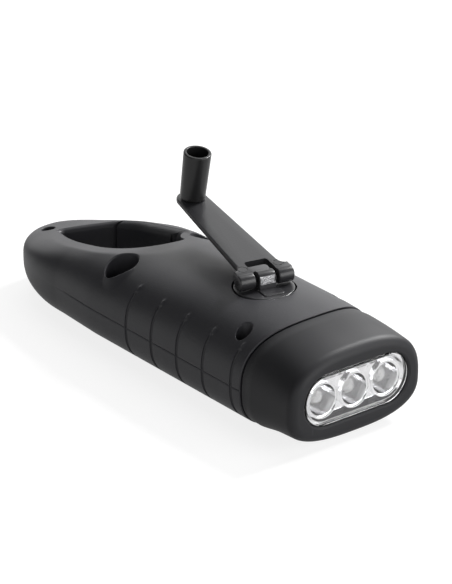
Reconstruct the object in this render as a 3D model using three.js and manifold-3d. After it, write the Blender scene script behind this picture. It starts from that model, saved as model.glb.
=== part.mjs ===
// Hand crank flashlight with a folding crank and a ring with a spring gate at its tail.
// Millimetres, +Z up. The crank's spin axis is the Z axis, the underside is z = 0,
// the lens looks along -Y and the ring is at +Y.
import * as THREE from "three";
import { mergeVertices } from "three/addons/utils/BufferGeometryUtils.js";
import Module from "manifold-3d";

const wasm = await Module();
wasm.setup();

// Body
const BODY_HEIGHT = 36;
const PARTING_HEIGHT = 14.3;
const NOSE_LENGTH = 46.8;
const TAIL_LENGTH = 118.5;
const BODY_HALF_WIDTH = 27;
const TAIL_DRAW_IN = 1.2;
const TAIL_HALF_WIDTH = BODY_HALF_WIDTH - TAIL_DRAW_IN;
const TAPER_START = 60;
const TAIL_ROUND_START = 80;
const BELLY_DEPTH = 14.6;
const FRONT_ROUND = 2.2;
const SHELL_WALL = 2;
const CUT_OVERRUN = 6;

// Head cap, lens and light
const CAP_WALL = 2.2;
const CAP_CLEARANCE = 0.2;
const CAP_FRONT_WALL = 1.6;
const CAP_SEAM_GAP = 0.35;
const SEAM_BULGE_Y = -21;
const SEAM_RADIUS = 35;
const NECK_FRONT_Y = -40;
const WINDOW_SIDE_MARGIN = 5.7;
const WINDOW_SILL = 7.8;
const WINDOW_TOP_MARGIN = 10.6;
const WINDOW_WIDTH = 2 * (BODY_HALF_WIDTH - WINDOW_SIDE_MARGIN);
const WINDOW_HEIGHT = BODY_HEIGHT - WINDOW_TOP_MARGIN - WINDOW_SILL;
const WINDOW_CENTRE_HEIGHT = WINDOW_SILL + WINDOW_HEIGHT / 2;
const WINDOW_BEVEL = 0.7;
const LENS_RECESS = 0.5;
const LENS_THICKNESS = 1.1;
const LENS_FLANGE = 1.3;
const LENS_FLANGE_DEPTH = 1;
const LENS_GAP = 0.15;
const REFLECTOR_DEPTH = 8.5;
const REFLECTOR_FLANGE = 1.6;
const LED_SPREAD = 0.3;
const LED_DROP = 0.4;
const LED_PITCH = (WINDOW_WIDTH - WINDOW_HEIGHT) / 2 + LED_SPREAD;
const LED_HEIGHT = WINDOW_CENTRE_HEIGHT - LED_DROP;
const BOWL_RADIUS = 5.6;
const BOWL_BASE_RADIUS = 3.1;
const BOWL_DEPTH = 7;
const LED_RADIUS = 2.5;
const LED_LENGTH = 6.6;
const LED_RIM_RADIUS = 2.9;
const LED_RIM_DEPTH = 1;
const BOARD_THICKNESS = 1.2;
const LED_BOARD_MARGIN = 0.6;
const SEAT_GAP = 0.1;

// Ring opening and gate
const RING_BAR_WIDTH = 14.2;
const OPENING_HALF_WIDTH = BODY_HALF_WIDTH - RING_BAR_WIDTH;
const OPENING_FRONT_Y = 51.3;
const OPENING_TIP_SET_IN = 4.8;
const OPENING_TIP_X = OPENING_TIP_SET_IN - OPENING_HALF_WIDTH;
const OPENING_TIP_Y = 103.2;
const OPENING_TIP_RADIUS = 2.2;
const OPENING_STRAIGHT_END_Y = 80;
const NOSE_SET_IN = 3.8;
const NOSE_CORNER_X = OPENING_HALF_WIDTH - NOSE_SET_IN;
const GATE_PIVOT_SET_IN = 7.2;
const GATE_PIVOT_X = BODY_HALF_WIDTH - GATE_PIVOT_SET_IN;
const GATE_PIVOT_Y = 66.2;
const GATE_ROOT_RADIUS = 6.5;
const GATE_SOCKET_GAP = 0.35;
const GATE_TIP_Y = 93.6;
const GATE_TIP_GAP = 0.75;
const GATE_LIP = 3.3;
const GATE_LIFT = 0.4;
const GATE_SLOT_BOTTOM = 9.7;
const GATE_SLOT_TOP = 20.3;
const GATE_LUG_BOTTOM = 12.4;
const GATE_LUG_RADIUS = 4.4;
const GATE_BRIDGE_HALF_WIDTH = 2.6;
const GATE_BRIDGE_REACH = 7.6;
const GATE_SWING = THREE.MathUtils.degToRad(25);
const GATE_PIN_RADIUS = 1.6;
const GATE_PIN_BOTTOM = 4;
const GATE_PIN_TOP = 25;
const GATE_SPRING_RADIUS = 3.2;
const RUN_CLEARANCE = 0.08;
const PIN_CLEARANCE = 0.05;
const FACE_CLEARANCE = 0.3;

// Grip grooves
const GROOVE_COUNT = 5;
const GROOVE_FIRST_Y = -14.5;
const GROOVE_PITCH = 13.5;
const GROOVE_WIDTH = 1.1;
const GROOVE_DEPTH = 0.7;
const GROOVE_TOP_HEIGHT = 28.3;
const GROOVE_BOTTOM_HEIGHT = 2;

// Screw wells: place, well radius and seat height
const SCREW_HEAD_RADIUS = 2.2;
const SCREW_HEAD_HEIGHT = 1.8;
const SCREW_SHANK_RADIUS = 1.25;
const SCREW_TIP_HEIGHT = 6;
const SCREW_SLOT_WIDTH = 0.7;
const SCREW_SLOT_DEPTH = 0.8;
const WELL_WALL = 1.6;
const POST_RADIUS = 3.6;
const FRONT_WELL_SET_IN = 7.2;
const REAR_WELL_SET_IN = 9.1;
const FRONT_WELL = { x: BODY_HALF_WIDTH - FRONT_WELL_SET_IN, y: -14.3, radius: 2.7, seat: 20 };
const REAR_WELL = { x: BODY_HALF_WIDTH - REAR_WELL_SET_IN, y: 52.6, radius: 5.65, seat: 18 };
const TAIL_WELL = { x: -6.5, y: 110.6, radius: 2.4, seat: 15.6 };

// Crank
const CRANK_ANGLE = THREE.MathUtils.degToRad(-11.5);
const ARM_RAISE = THREE.MathUtils.degToRad(6.2);
const HUB_RADIUS = 10;
const HUB_THICKNESS = 1.8;
const HUB_SINK = 0.4;
const HUB_SIDE_GAP = 0.35;
const HUB_FLOOR_GAP = 0.2;
const HUB_PAD_RADIUS = 12.6;
const HUB_PAD_DEPTH = 4.6;
const HUB_PAD_BOTTOM = BODY_HEIGHT - HUB_PAD_DEPTH;
const BEARING_RADIUS = 6;
const BEARING_DEPTH = 5.6;
const BEARING_BOTTOM = BODY_HEIGHT - BEARING_DEPTH;
const SHAFT_RADIUS = 3;
const SHAFT_DEPTH = 9.1;
const SHAFT_BOTTOM = BODY_HEIGHT - SHAFT_DEPTH;
const SHAFT_FLAT = 2.1;
const SHAFT_BORE_RADIUS = 1.3;
const HUB_SCREW_HEAD_RADIUS = 4;
const HUB_SCREW_HEAD_HEIGHT = 0.6;
const HUB_SCREW_LENGTH = 5;
const HUB_PAD_FRONT_Y = -8.2;
const HUB_PAD_HALF_WIDTH = 4.2;
const HUB_PAD_HEIGHT = 0.7;
const HUB_PAD_BACK_Y = -4.6;
const HINGE_HEIGHT = 2.6;
const KNUCKLE_RADIUS = 2.7;
const HINGE_HALF_WIDTH = 9.8;
const MIDDLE_KNUCKLE_HALF_WIDTH = 3.05;
const ARM_KNUCKLE_INNER = 4.2;
const KNUCKLE_BEVEL = 0.5;
const HINGE_PIN_RADIUS = 0.9;
const HUB_TAB_LENGTH = 5.2;
const HUB_TAB_THICKNESS = 1.2;
const ARM_THICKNESS = 2.3;
const ARM_END_THICKNESS = 1.5;
const ARM_LENGTH = 52.5;
const ARM_END_RADIUS = 5.3;
const ARM_ROOT_HALF_WIDTH = 7.2;
const ARM_FLARE_START = 3;
const ARM_FLARE_END = 7;
const ARM_WINDOW_END = 7.2;
const KNOB_HEIGHT = 17.6;
const KNOB_TOP_RADIUS = 4.7;
const KNOB_BASE_RADIUS = 4.3;
const KNOB_BORE_RADIUS = 3.65;
const KNOB_EDGE = 0.35;
const KNOB_WEB_BOTTOM = 4.5;
const KNOB_WEB_TOP = 6.3;
const KNOB_GAP = 0.5;
const KNOB_LEAN_BACK = THREE.MathUtils.degToRad(3);
const KNOB_LEAN_SIDE = THREE.MathUtils.degToRad(1.8);
const POST_FOOT_GAP = 0.3;
const POST_SHANK_RADIUS = 1.8;
const POST_HEAD_RADIUS = 2.9;
const POST_HEAD_HEIGHT = 1.8;
const POST_SLOT = 0.8;
const POST_COLLAR_RADIUS = 3;
const POST_COLLAR_BOTTOM = 0.3;
const POST_COLLAR_TOP = 1.5;

// Gear train
const PRESSURE_ANGLE = THREE.MathUtils.degToRad(20);
const GEAR_BACKLASH = 0.14;
const GEAR_ADDENDUM_share = 0.9;
const GEAR_DEDENDUM_share = 1.2;
const MESH_CLEARANCE = 0.1;
const GEAR_TEETH = 40;
const GEAR_SIDE_ROOM = 9;
const GEAR_MODULE = (2 * (BODY_HALF_WIDTH - SHELL_WALL - GEAR_SIDE_ROOM)) / GEAR_TEETH;
const SECOND_GEAR_TEETH = 32;
const PINION_TEETH = 10;
const GEAR_WIDTH = 2.4;
const GEAR_LEVEL_GAP = 1.1;
const PINION_OVERLAP = 0.25;
const DRIVE_GEAR_LIFT = 0.3;
const DRIVE_GEAR_BOTTOM = SHAFT_BOTTOM + DRIVE_GEAR_LIFT;
const AXLE_RADIUS = 1.25;
const AXLE_BOSS_RADIUS = 3.2;
const AXLE_BOSS_DEPTH = 5;
const AXLE_BOSS_BOTTOM = BODY_HEIGHT - AXLE_BOSS_DEPTH;
const FIRST_AXLE_SEAT = 1.6;
const FIRST_AXLE_TOP = AXLE_BOSS_BOTTOM + FIRST_AXLE_SEAT;
const SECOND_AXLE_OFFSET_X = -6.5;
const ROTOR_DIRECTION = THREE.MathUtils.degToRad(17);
const PLATE_DEPTH = 19.5;
const PLATE_BOTTOM = BODY_HEIGHT - PLATE_DEPTH;
const PLATE_THICKNESS = 1.5;
const PLATE_SIDE_GAP = 1.4;
const PLATE_HALF_WIDTH = BODY_HALF_WIDTH - SHELL_WALL - PLATE_SIDE_GAP;
const PLATE_FRONT_Y = -7.4;
const PLATE_BACK_Y = 35;
const PLATE_CORNER = 4;
const PLATE_POST_SET_IN = 2.6;
const PLATE_POST_X = PLATE_HALF_WIDTH - PLATE_POST_SET_IN;
const PLATE_POST_Y = -3.8;
const PLATE_REAR_POST_X = 5;
const PLATE_REAR_POST_Y = 31;
const PLATE_POST_RADIUS = 2.2;
const PLATE_SCREW_HEAD_RADIUS = 1.7;
const PLATE_SCREW_HEAD_HEIGHT = 1;
const PLATE_SCREW_SHANK_RADIUS = 0.8;
const PLATE_SCREW_LENGTH = 6;
const ROTOR_SHAFT_RADIUS = 1;
const ROTOR_SHAFT_BOTTOM = 3.6;
const STATOR_INNER_RADIUS = 7.2;
const STATOR_OUTER_RADIUS = 11.4;
const MAGNET_AIR_GAP = 0.6;
const MAGNET_RADIUS = STATOR_INNER_RADIUS - MAGNET_AIR_GAP;
const MAGNET_BOTTOM = 6.4;
const MAGNET_TOP_GAP = 1.5;
const MAGNET_TOP = PLATE_BOTTOM - MAGNET_TOP_GAP;
const STATOR_BOTTOM = 5.6;
const STATOR_TOP_GAP = 0.6;
const STATOR_TOP = PLATE_BOTTOM - STATOR_TOP_GAP;
const STATOR_FLANGE = 1.2;
const STATOR_WAIST = 1.4;
const ROTOR_BOSS_RADIUS = 2.8;
const ROTOR_BOSS_TOP = 5.2;
const STATOR_SEAT_WALL = 1.5;

// Underside, battery and electronics
const PANEL_SET_IN = 14;
const PANEL_HALF_WIDTH = BODY_HALF_WIDTH - PANEL_SET_IN;
const PANEL_FRONT_Y = 4;
const PANEL_BACK_Y = 41;
const PANEL_THICKNESS = 1.5;
const PANEL_SINK = 0.3;
const PANEL_GAP = 0.2;
const PANEL_FLOOR_HEIGHT = 3.2;
const PANEL_CORNER = 1.5;
const BUTTON_Y = -13;
const BUTTON_RADIUS = 4.6;
const BUTTON_SINK = 0.4;
const BUTTON_FLANGE_RADIUS = 6;
const BUTTON_FLANGE_BOTTOM = 2.25;
const BUTTON_FLANGE_THICKNESS = 0.9;
const BUTTON_TRAVEL = 0.8;
const BUTTON_GAP = 0.08;
const BUTTON_TOP = 3.9;
const BUTTON_DISH = 0.4;
const BUTTON_DISH_RADIUS = 3.7;
const SWITCH_HALF_WIDTH = 3.1;
const SWITCH_BODY_HEIGHT = 2.6;
const SWITCH_STEM_RADIUS = 1.6;
const CIRCUIT_BOTTOM = 8;
const CIRCUIT_WIDTH_share = 0.5;
const CIRCUIT_HALF_WIDTH = BODY_HALF_WIDTH * CIRCUIT_WIDTH_share;
const CIRCUIT_FRONT_Y = -30;
const CIRCUIT_BACK_Y = -7;
const CIRCUIT_POST_SET_IN = 2.5;
const CIRCUIT_POST_X = CIRCUIT_HALF_WIDTH - CIRCUIT_POST_SET_IN;
const CIRCUIT_POST_Y = -26.5;
const CIRCUIT_REAR_POST_Y = -9.2;
const CIRCUIT_POST_RADIUS = 1.6;
const CHIP_SIZE = 5;
const CHIP_HEIGHT = 1.4;
const BATTERY_FRONT_Y = 4;
const BATTERY_BACK_Y = 33;
const BATTERY_REACH_share = 2 / 3;
const BATTERY_LEFT_X = -BODY_HALF_WIDTH * BATTERY_REACH_share;
const BATTERY_STATOR_GAP = 2.66;
const BATTERY_BOTTOM = 3.4;
const BATTERY_TOP_GAP = 3.5;
const BATTERY_TOP = PLATE_BOTTOM - BATTERY_TOP_GAP;
const BATTERY_CORNER = 2;

// Profiles: the first column is a share of the nose length (negative) or of the tail length,
// the second a share of the height of the deck, or of the depth of the belly, from the parting.
const DECK_shares = [
  [-1, 0.786],
  [-0.77, 0.9],
  [-0.6, 0.95],
  [-0.235, 1],
  [0.093, 1],
  [0.278, 0.925],
  [0.422, 0.857],
  [0.557, 0.8],
  [0.675, 0.664],
  [0.8, 0.475],
  [0.9, 0.31],
  [1, 0.18],
];
const BELLY_shares = [
  [-1, 0.883],
  [-0.81, 0.885],
  [-0.53, 0.995],
  [0.5, 1],
  [0.72, 0.995],
  [1, 0.56],
];
const TOP_EXPONENT_NOSE = 2.7;
const TOP_EXPONENT = 2.45;
const TOP_EXPONENT_TAIL = 1.9;
const BELLY_EXPONENT_NOSE = 2.75;
const BELLY_EXPONENT = 3.4;
const TAIL_PLAN_EXPONENT = 2.24;
const TAIL_END_EXPONENT = 8;

// How finely the forms are divided. The hollow is divided more coarsely than the outside.
const OUTSIDE = { points: 32, nose: 4, body: 9, tail: 6 };
const INSIDE = { points: 20, nose: 0, body: 6, tail: 4 };
const TAIL_TIP_share = 0.25;
const FINE_STEPS = 32;
const KNOB_STEPS = 24;
const ROUND_STEPS = 16;
const SMALL_STEPS = 10;
const TINY_STEPS = 8;
const CURVE_STEPS = 8;
const CORNER_STEPS = 3;
const SEAM_STEPS = 12;
const GROOVE_STEPS = 4;
const BOWL_STEPS = 3;
const DOME_STEPS = 3;
const GATE_SWEEP_STEPS = 3;
const WELD_DISTANCE = 1e-4;

// Solids

function solid(geometry) {
  const bare = geometry.index ? geometry.toNonIndexed() : geometry.clone();
  bare.deleteAttribute("normal");
  bare.deleteAttribute("uv");
  const merged = mergeVertices(bare, WELD_DISTANCE);
  return new wasm.Manifold(
    new wasm.Mesh({
      numProp: 3,
      vertProperties: new Float32Array(merged.attributes.position.array),
      triVerts: new Uint32Array(merged.index.array),
    }),
  );
}

function geometryOf(body) {
  const mesh = body.getMesh();
  const geometry = new THREE.BufferGeometry();
  geometry.setAttribute("position", new THREE.BufferAttribute(mesh.vertProperties, mesh.numProp));
  geometry.setIndex(new THREE.BufferAttribute(mesh.triVerts, 1));
  geometry.computeVertexNormals();
  return geometry;
}

function piece(name, body, finish) {
  const geometry = body.isBufferGeometry ? body : geometryOf(body);
  const mesh = new THREE.Mesh(geometry, new THREE.MeshStandardMaterial(finish));
  mesh.name = name;
  return mesh;
}

function unite(bodies) {
  return bodies.reduce((whole, body) => whole.add(body));
}

// A round bar along Z, from z = bottom to z = top.
function post(radius, bottom, top, x = 0, y = 0, steps = ROUND_STEPS) {
  const geometry = new THREE.CylinderGeometry(radius, radius, top - bottom, steps);
  geometry.rotateX(Math.PI / 2);
  geometry.translate(x, y, (bottom + top) / 2);
  return solid(geometry);
}

function block(x0, x1, y0, y1, z0, z1) {
  const geometry = new THREE.BoxGeometry(x1 - x0, y1 - y0, z1 - z0);
  geometry.translate((x0 + x1) / 2, (y0 + y1) / 2, (z0 + z1) / 2);
  return solid(geometry);
}

// A plan outline raised from z = bottom to z = top.
function raised(shape, bottom, top, curveSegments = CURVE_STEPS) {
  const geometry = new THREE.ExtrudeGeometry(shape, {
    depth: top - bottom,
    bevelEnabled: false,
    curveSegments,
  });
  geometry.translate(0, 0, bottom);
  return solid(geometry);
}

// An outline drawn in x and z, running from y = front to y = back.
function facing(shape, front, back, curveSegments = CURVE_STEPS) {
  const geometry = new THREE.ExtrudeGeometry(shape, {
    depth: back - front,
    bevelEnabled: false,
    curveSegments,
  });
  geometry.rotateX(Math.PI / 2);
  geometry.translate(0, back, 0);
  return solid(geometry);
}

// An outline drawn in y and z, running from x = left to x = right.
function sideways(shape, left, right, curveSegments = CURVE_STEPS) {
  const geometry = new THREE.ExtrudeGeometry(shape, {
    depth: right - left,
    bevelEnabled: false,
    curveSegments,
  });
  geometry.rotateX(Math.PI / 2);
  geometry.rotateZ(Math.PI / 2);
  geometry.translate(left, 0, 0);
  return solid(geometry);
}

// A profile of (radius, height) points turned about the Z axis.
function turned(points, steps = ROUND_STEPS) {
  const outline = points.map(([radius, height]) => new THREE.Vector2(radius, height));
  const geometry = new THREE.LatheGeometry(outline, steps);
  geometry.rotateX(Math.PI / 2);
  return solid(geometry);
}

function rectangle(x0, x1, y0, y1, corner) {
  const shape = new THREE.Shape();
  shape.moveTo(x0 + corner, y0);
  shape.lineTo(x1 - corner, y0);
  shape.absarc(x1 - corner, y0 + corner, corner, -Math.PI / 2, 0, false);
  shape.lineTo(x1, y1 - corner);
  shape.absarc(x1 - corner, y1 - corner, corner, 0, Math.PI / 2, false);
  shape.lineTo(x0 + corner, y1);
  shape.absarc(x0 + corner, y1 - corner, corner, Math.PI / 2, Math.PI, false);
  shape.lineTo(x0, y0 + corner);
  shape.absarc(x0 + corner, y0 + corner, corner, Math.PI, 1.5 * Math.PI, false);
  return shape;
}

// The lens shape: a bar with round ends, grown by `grow` on every side.
function windowShape(grow) {
  const radius = WINDOW_HEIGHT / 2 + grow;
  const reach = (WINDOW_WIDTH - WINDOW_HEIGHT) / 2;
  const shape = new THREE.Shape();
  shape.moveTo(-reach, WINDOW_CENTRE_HEIGHT - radius);
  shape.lineTo(reach, WINDOW_CENTRE_HEIGHT - radius);
  shape.absarc(reach, WINDOW_CENTRE_HEIGHT, radius, -Math.PI / 2, Math.PI / 2, false);
  shape.lineTo(-reach, WINDOW_CENTRE_HEIGHT + radius);
  shape.absarc(-reach, WINDOW_CENTRE_HEIGHT, radius, Math.PI / 2, 1.5 * Math.PI, false);
  return shape;
}

// Body form

// Smooth curve through a table of shares, read at a share (monotone between its points).
function readProfile(table, at) {
  const last = table.length - 1;
  let k = 0;
  while (k < last - 1 && at > table[k + 1][0]) {
    k += 1;
  }
  const slope = (i) => (table[i + 1][1] - table[i][1]) / (table[i + 1][0] - table[i][0]);
  const tangent = (i) => {
    if (i === 0) return slope(0);
    if (i === last) return slope(last - 1);
    const before = slope(i - 1);
    const after = slope(i);
    return before * after <= 0 ? 0 : (2 * before * after) / (before + after);
  };
  const span = table[k + 1][0] - table[k][0];
  const t = THREE.MathUtils.clamp((at - table[k][0]) / span, 0, 1);
  const a = table[k][1];
  const b = table[k + 1][1];
  const blend = t * t * (3 - 2 * t);
  const start = t * (1 - t) * (1 - t) * span * tangent(k);
  const end = t * t * (t - 1) * span * tangent(k + 1);
  return a + (b - a) * blend + start + end;
}

function shareOfLength(y) {
  return y < 0 ? y / NOSE_LENGTH : y / TAIL_LENGTH;
}

// Half width, deck and belly of the body at y, all pulled in by `inset`.
function bodySection(y, inset) {
  const share = shareOfLength(y);
  const ramp = (from, to) => THREE.MathUtils.clamp((y - from) / (to - from), 0, 1);
  const tailShare = Math.max(0, (y - TAIL_ROUND_START) / (TAIL_LENGTH - inset - TAIL_ROUND_START));
  const closing = (power) => Math.max(0, 1 - tailShare ** power) ** (1 / power);
  const half = THREE.MathUtils.lerp(BODY_HALF_WIDTH, TAIL_HALF_WIDTH, ramp(TAPER_START, TAIL_ROUND_START));
  const deck = (BODY_HEIGHT - PARTING_HEIGHT) * readProfile(DECK_shares, share);
  const belly = BELLY_DEPTH * readProfile(BELLY_shares, share);
  const behindNose = ramp(-NOSE_LENGTH, -NOSE_LENGTH / 2);
  const nearTail = ramp(TAPER_START, TAIL_LENGTH);
  const top = THREE.MathUtils.lerp(TOP_EXPONENT_NOSE, TOP_EXPONENT, behindNose);
  return {
    width: (half - inset) * closing(TAIL_PLAN_EXPONENT),
    deck: (deck - inset) * closing(TAIL_END_EXPONENT),
    belly: (belly - inset) * closing(TAIL_END_EXPONENT),
    topExponent: THREE.MathUtils.lerp(top, TOP_EXPONENT_TAIL, nearTail),
    bellyExponent: THREE.MathUtils.lerp(BELLY_EXPONENT_NOSE, BELLY_EXPONENT, behindNose),
  };
}

// One closed ring of points round the body at y. It is flat where it meets the underside.
function bodyRing(y, inset, shrink, count) {
  const section = bodySection(y, inset);
  const points = [];
  for (let i = 0; i < count; i += 1) {
    const angle = (2 * Math.PI * (i + 0.5)) / count;
    const c = Math.cos(angle);
    const s = Math.sin(angle);
    const above = s > 0;
    const exponent = 2 / (above ? section.topExponent : section.bellyExponent);
    const height = (above ? section.deck : section.belly) - shrink;
    const x = (section.width - shrink) * Math.sign(c) * Math.abs(c) ** exponent;
    const z = PARTING_HEIGHT + height * Math.sign(s) * Math.abs(s) ** exponent;
    points.push(new THREE.Vector3(x, y, Math.max(z, inset)));
  }
  return points;
}

// Stitches rings of points into one closed skin, with a fan over each end.
function skin(rings) {
  const positions = [];
  const indices = [];
  const count = rings[0].length;
  for (const point of rings.flat()) {
    positions.push(point.x, point.y, point.z);
  }
  for (let r = 0; r + 1 < rings.length; r += 1) {
    for (let i = 0; i < count; i += 1) {
      const a = r * count + i;
      const b = r * count + ((i + 1) % count);
      indices.push(a, a + count, b, b, a + count, b + count);
    }
  }
  const fan = (ring, first, reversed) => {
    const centre = positions.length / 3;
    const middle = ring.reduce((sum, p) => sum.add(p), new THREE.Vector3()).divideScalar(count);
    positions.push(middle.x, middle.y, middle.z);
    for (let i = 0; i < count; i += 1) {
      const next = (i + 1) % count;
      indices.push(centre, first + (reversed ? next : i), first + (reversed ? i : next));
    }
  };
  fan(rings[0], 0, false);
  fan(rings[rings.length - 1], (rings.length - 1) * count, true);
  const geometry = new THREE.BufferGeometry();
  geometry.setAttribute("position", new THREE.Float32BufferAttribute(positions, 3));
  geometry.setIndex(indices);
  return solid(geometry);
}

// The body form pulled in by `inset`, from y = front to the tail.
function bodyForm(inset, front = -NOSE_LENGTH + inset, detail = OUTSIDE) {
  const rings = [];
  const rounded = inset === 0;
  for (let i = 0; rounded && i < detail.nose; i += 1) {
    const turn = ((i / (detail.nose - 1)) * Math.PI) / 2;
    const y = front + FRONT_ROUND * (1 - Math.cos(turn));
    rings.push(bodyRing(y, inset, FRONT_ROUND * (1 - Math.sin(turn)), detail.points));
  }
  const start = rounded ? front + FRONT_ROUND : front;
  for (let i = rounded ? 1 : 0; i <= detail.body; i += 1) {
    const y = THREE.MathUtils.lerp(start, TAIL_ROUND_START, i / detail.body);
    rings.push(bodyRing(y, inset, 0, detail.points));
  }
  const tailReach = TAIL_LENGTH - inset - TAIL_ROUND_START;
  for (let i = 1; i <= detail.tail; i += 1) {
    const turn = ((i / (detail.tail + TAIL_TIP_share)) * Math.PI) / 2;
    rings.push(bodyRing(TAIL_ROUND_START + tailReach * Math.sin(turn), inset, 0, detail.points));
  }
  return skin(rings);
}

// The arc that the cap's seam and the grip grooves share, seen from the side.
function arcBand(bulgeY, thickness, bottom, top) {
  const centre = bulgeY - SEAM_RADIUS;
  const low = Math.asin((bottom - PARTING_HEIGHT) / SEAM_RADIUS);
  const high = Math.asin((top - PARTING_HEIGHT) / SEAM_RADIUS);
  const outer = SEAM_RADIUS + thickness / 2;
  const inner = SEAM_RADIUS - thickness / 2;
  const shape = new THREE.Shape();
  shape.absarc(centre, PARTING_HEIGHT, outer, low, high, false);
  shape.absarc(centre, PARTING_HEIGHT, inner, high, low, true);
  shape.closePath();
  return shape;
}

// Everything in front of the seam, with the seam moved forward by `gap`.
function headRegion(gap) {
  const shape = new THREE.Shape();
  const centre = SEAM_BULGE_Y - gap - SEAM_RADIUS;
  const reach = BODY_HEIGHT - PARTING_HEIGHT + CUT_OVERRUN;
  const turn = Math.asin(reach / SEAM_RADIUS);
  shape.absarc(centre, PARTING_HEIGHT, SEAM_RADIUS, -turn, turn, false);
  shape.lineTo(-NOSE_LENGTH - CUT_OVERRUN, PARTING_HEIGHT + reach);
  shape.lineTo(-NOSE_LENGTH - CUT_OVERRUN, PARTING_HEIGHT - reach);
  shape.closePath();
  return sideways(shape, -BODY_HALF_WIDTH - CUT_OVERRUN, BODY_HALF_WIDTH + CUT_OVERRUN, SEAM_STEPS);
}

// Ring opening and gate

// Plan of the ring opening, grown by `grow`: a round front, straight sides,
// a small round tip on the left and a straight inner face on the hook.
function openingShape(grow) {
  const half = OPENING_HALF_WIDTH + grow;
  const centreY = OPENING_FRONT_Y + OPENING_HALF_WIDTH;
  const tip = OPENING_TIP_RADIUS + grow;
  const tipX = OPENING_TIP_X + OPENING_TIP_RADIUS;
  const tipY = OPENING_TIP_Y - OPENING_TIP_RADIUS;
  const slant = Math.atan2(OPENING_TIP_Y - GATE_TIP_Y, NOSE_CORNER_X - OPENING_TIP_X);
  const up = new THREE.Vector2(Math.sin(slant), Math.cos(slant));
  const cornerX = NOSE_CORNER_X + grow;
  const cornerY = GATE_TIP_Y + grow * up.y;
  const shape = new THREE.Shape();
  shape.absarc(0, centreY, half, Math.PI, 2 * Math.PI, false);
  shape.lineTo(half, OPENING_STRAIGHT_END_Y);
  shape.quadraticCurveTo(half, (OPENING_STRAIGHT_END_Y + cornerY) / 2, cornerX, cornerY);
  shape.lineTo(tipX + tip * up.x, tipY + tip * up.y);
  shape.absarc(tipX, tipY, tip, Math.PI / 2 - slant, Math.PI, false);
  shape.quadraticCurveTo(-half, (OPENING_STRAIGHT_END_Y + tipY) / 2, -half, OPENING_STRAIGHT_END_Y);
  shape.closePath();
  return shape;
}

function openingCut(grow) {
  return raised(openingShape(grow), -CUT_OVERRUN, BODY_HEIGHT + CUT_OVERRUN);
}

// The far side of the ring that the gate takes the place of, with room round it.
function gateRoom(grow) {
  const far = BODY_HALF_WIDTH + CUT_OVERRUN;
  const low = -CUT_OVERRUN;
  const high = BODY_HEIGHT + CUT_OVERRUN;
  const side = block(
    0, far,
    GATE_PIVOT_Y - GATE_LIP - grow, GATE_TIP_Y + GATE_TIP_GAP + grow,
    low, high,
  );
  const kept = raised(openingShape(grow > 0 ? 0 : -GATE_SOCKET_GAP), low, high);
  const root = post(GATE_ROOT_RADIUS + GATE_SOCKET_GAP + grow, low, high, GATE_PIVOT_X, GATE_PIVOT_Y);
  return side.subtract(kept).add(root);
}

// A round boss on the gate's pivot with a bar that runs forward from it, grown by `grow`.
function lugForm(grow, bottom, top, turns) {
  const boss = post(GATE_LUG_RADIUS + grow, bottom, top);
  const half = GATE_BRIDGE_HALF_WIDTH + grow;
  const bar = block(-half, half, -GATE_BRIDGE_REACH, 0, bottom, top);
  const bars = turns.map((turn) => bar.rotate(0, 0, THREE.MathUtils.radToDeg(-turn)));
  return boss.add(unite(bars)).translate(GATE_PIVOT_X, GATE_PIVOT_Y, 0);
}

// The lug of the shell that stands between the two ears of the gate.
function gateLug() {
  const form = lugForm(0, GATE_LUG_BOTTOM, GATE_SLOT_TOP - FACE_CLEARANCE, [0]);
  return form.subtract(
    post(GATE_PIN_RADIUS + RUN_CLEARANCE, 0, BODY_HEIGHT, GATE_PIVOT_X, GATE_PIVOT_Y),
  );
}

function gateBody() {
  const far = BODY_HALF_WIDTH + CUT_OVERRUN;
  const rail = block(0, far, GATE_PIVOT_Y, GATE_TIP_Y, GATE_LIFT, BODY_HEIGHT)
    .subtract(openingCut(0))
    .add(post(GATE_ROOT_RADIUS, GATE_LIFT, BODY_HEIGHT, GATE_PIVOT_X, GATE_PIVOT_Y));
  const swept = [];
  for (let i = 0; i <= GATE_SWEEP_STEPS; i += 1) {
    swept.push((GATE_SWING * i) / GATE_SWEEP_STEPS);
  }
  const slot = lugForm(GATE_SOCKET_GAP, GATE_SLOT_BOTTOM, GATE_SLOT_TOP, swept);
  const bore = post(
    GATE_PIN_RADIUS + PIN_CLEARANCE, GATE_PIN_BOTTOM, GATE_PIN_TOP, GATE_PIVOT_X, GATE_PIVOT_Y,
  );
  return bodyForm(0).intersect(rail).subtract(slot).subtract(bore);
}

// Screws

function wells() {
  const sides = [-1, 1];
  const front = sides.map((side) => ({ ...FRONT_WELL, x: side * FRONT_WELL.x }));
  const rear = sides.map((side) => ({ ...REAR_WELL, x: side * REAR_WELL.x }));
  return [...front, ...rear, TAIL_WELL];
}

function screw(seat, tip) {
  const head = post(SCREW_HEAD_RADIUS, seat, seat + SCREW_HEAD_HEIGHT, 0, 0, SMALL_STEPS);
  const shank = post(SCREW_SHANK_RADIUS, tip, seat, 0, 0, TINY_STEPS);
  const slotTop = seat + SCREW_HEAD_HEIGHT;
  const across = (turn) => {
    const slot = new THREE.BoxGeometry(SCREW_HEAD_RADIUS, SCREW_SLOT_WIDTH, 2 * SCREW_SLOT_DEPTH);
    slot.rotateZ(turn);
    slot.translate(0, 0, slotTop);
    return solid(slot);
  };
  return head.add(shank).subtract(across(0)).subtract(across(Math.PI / 2));
}

// Housing

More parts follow.
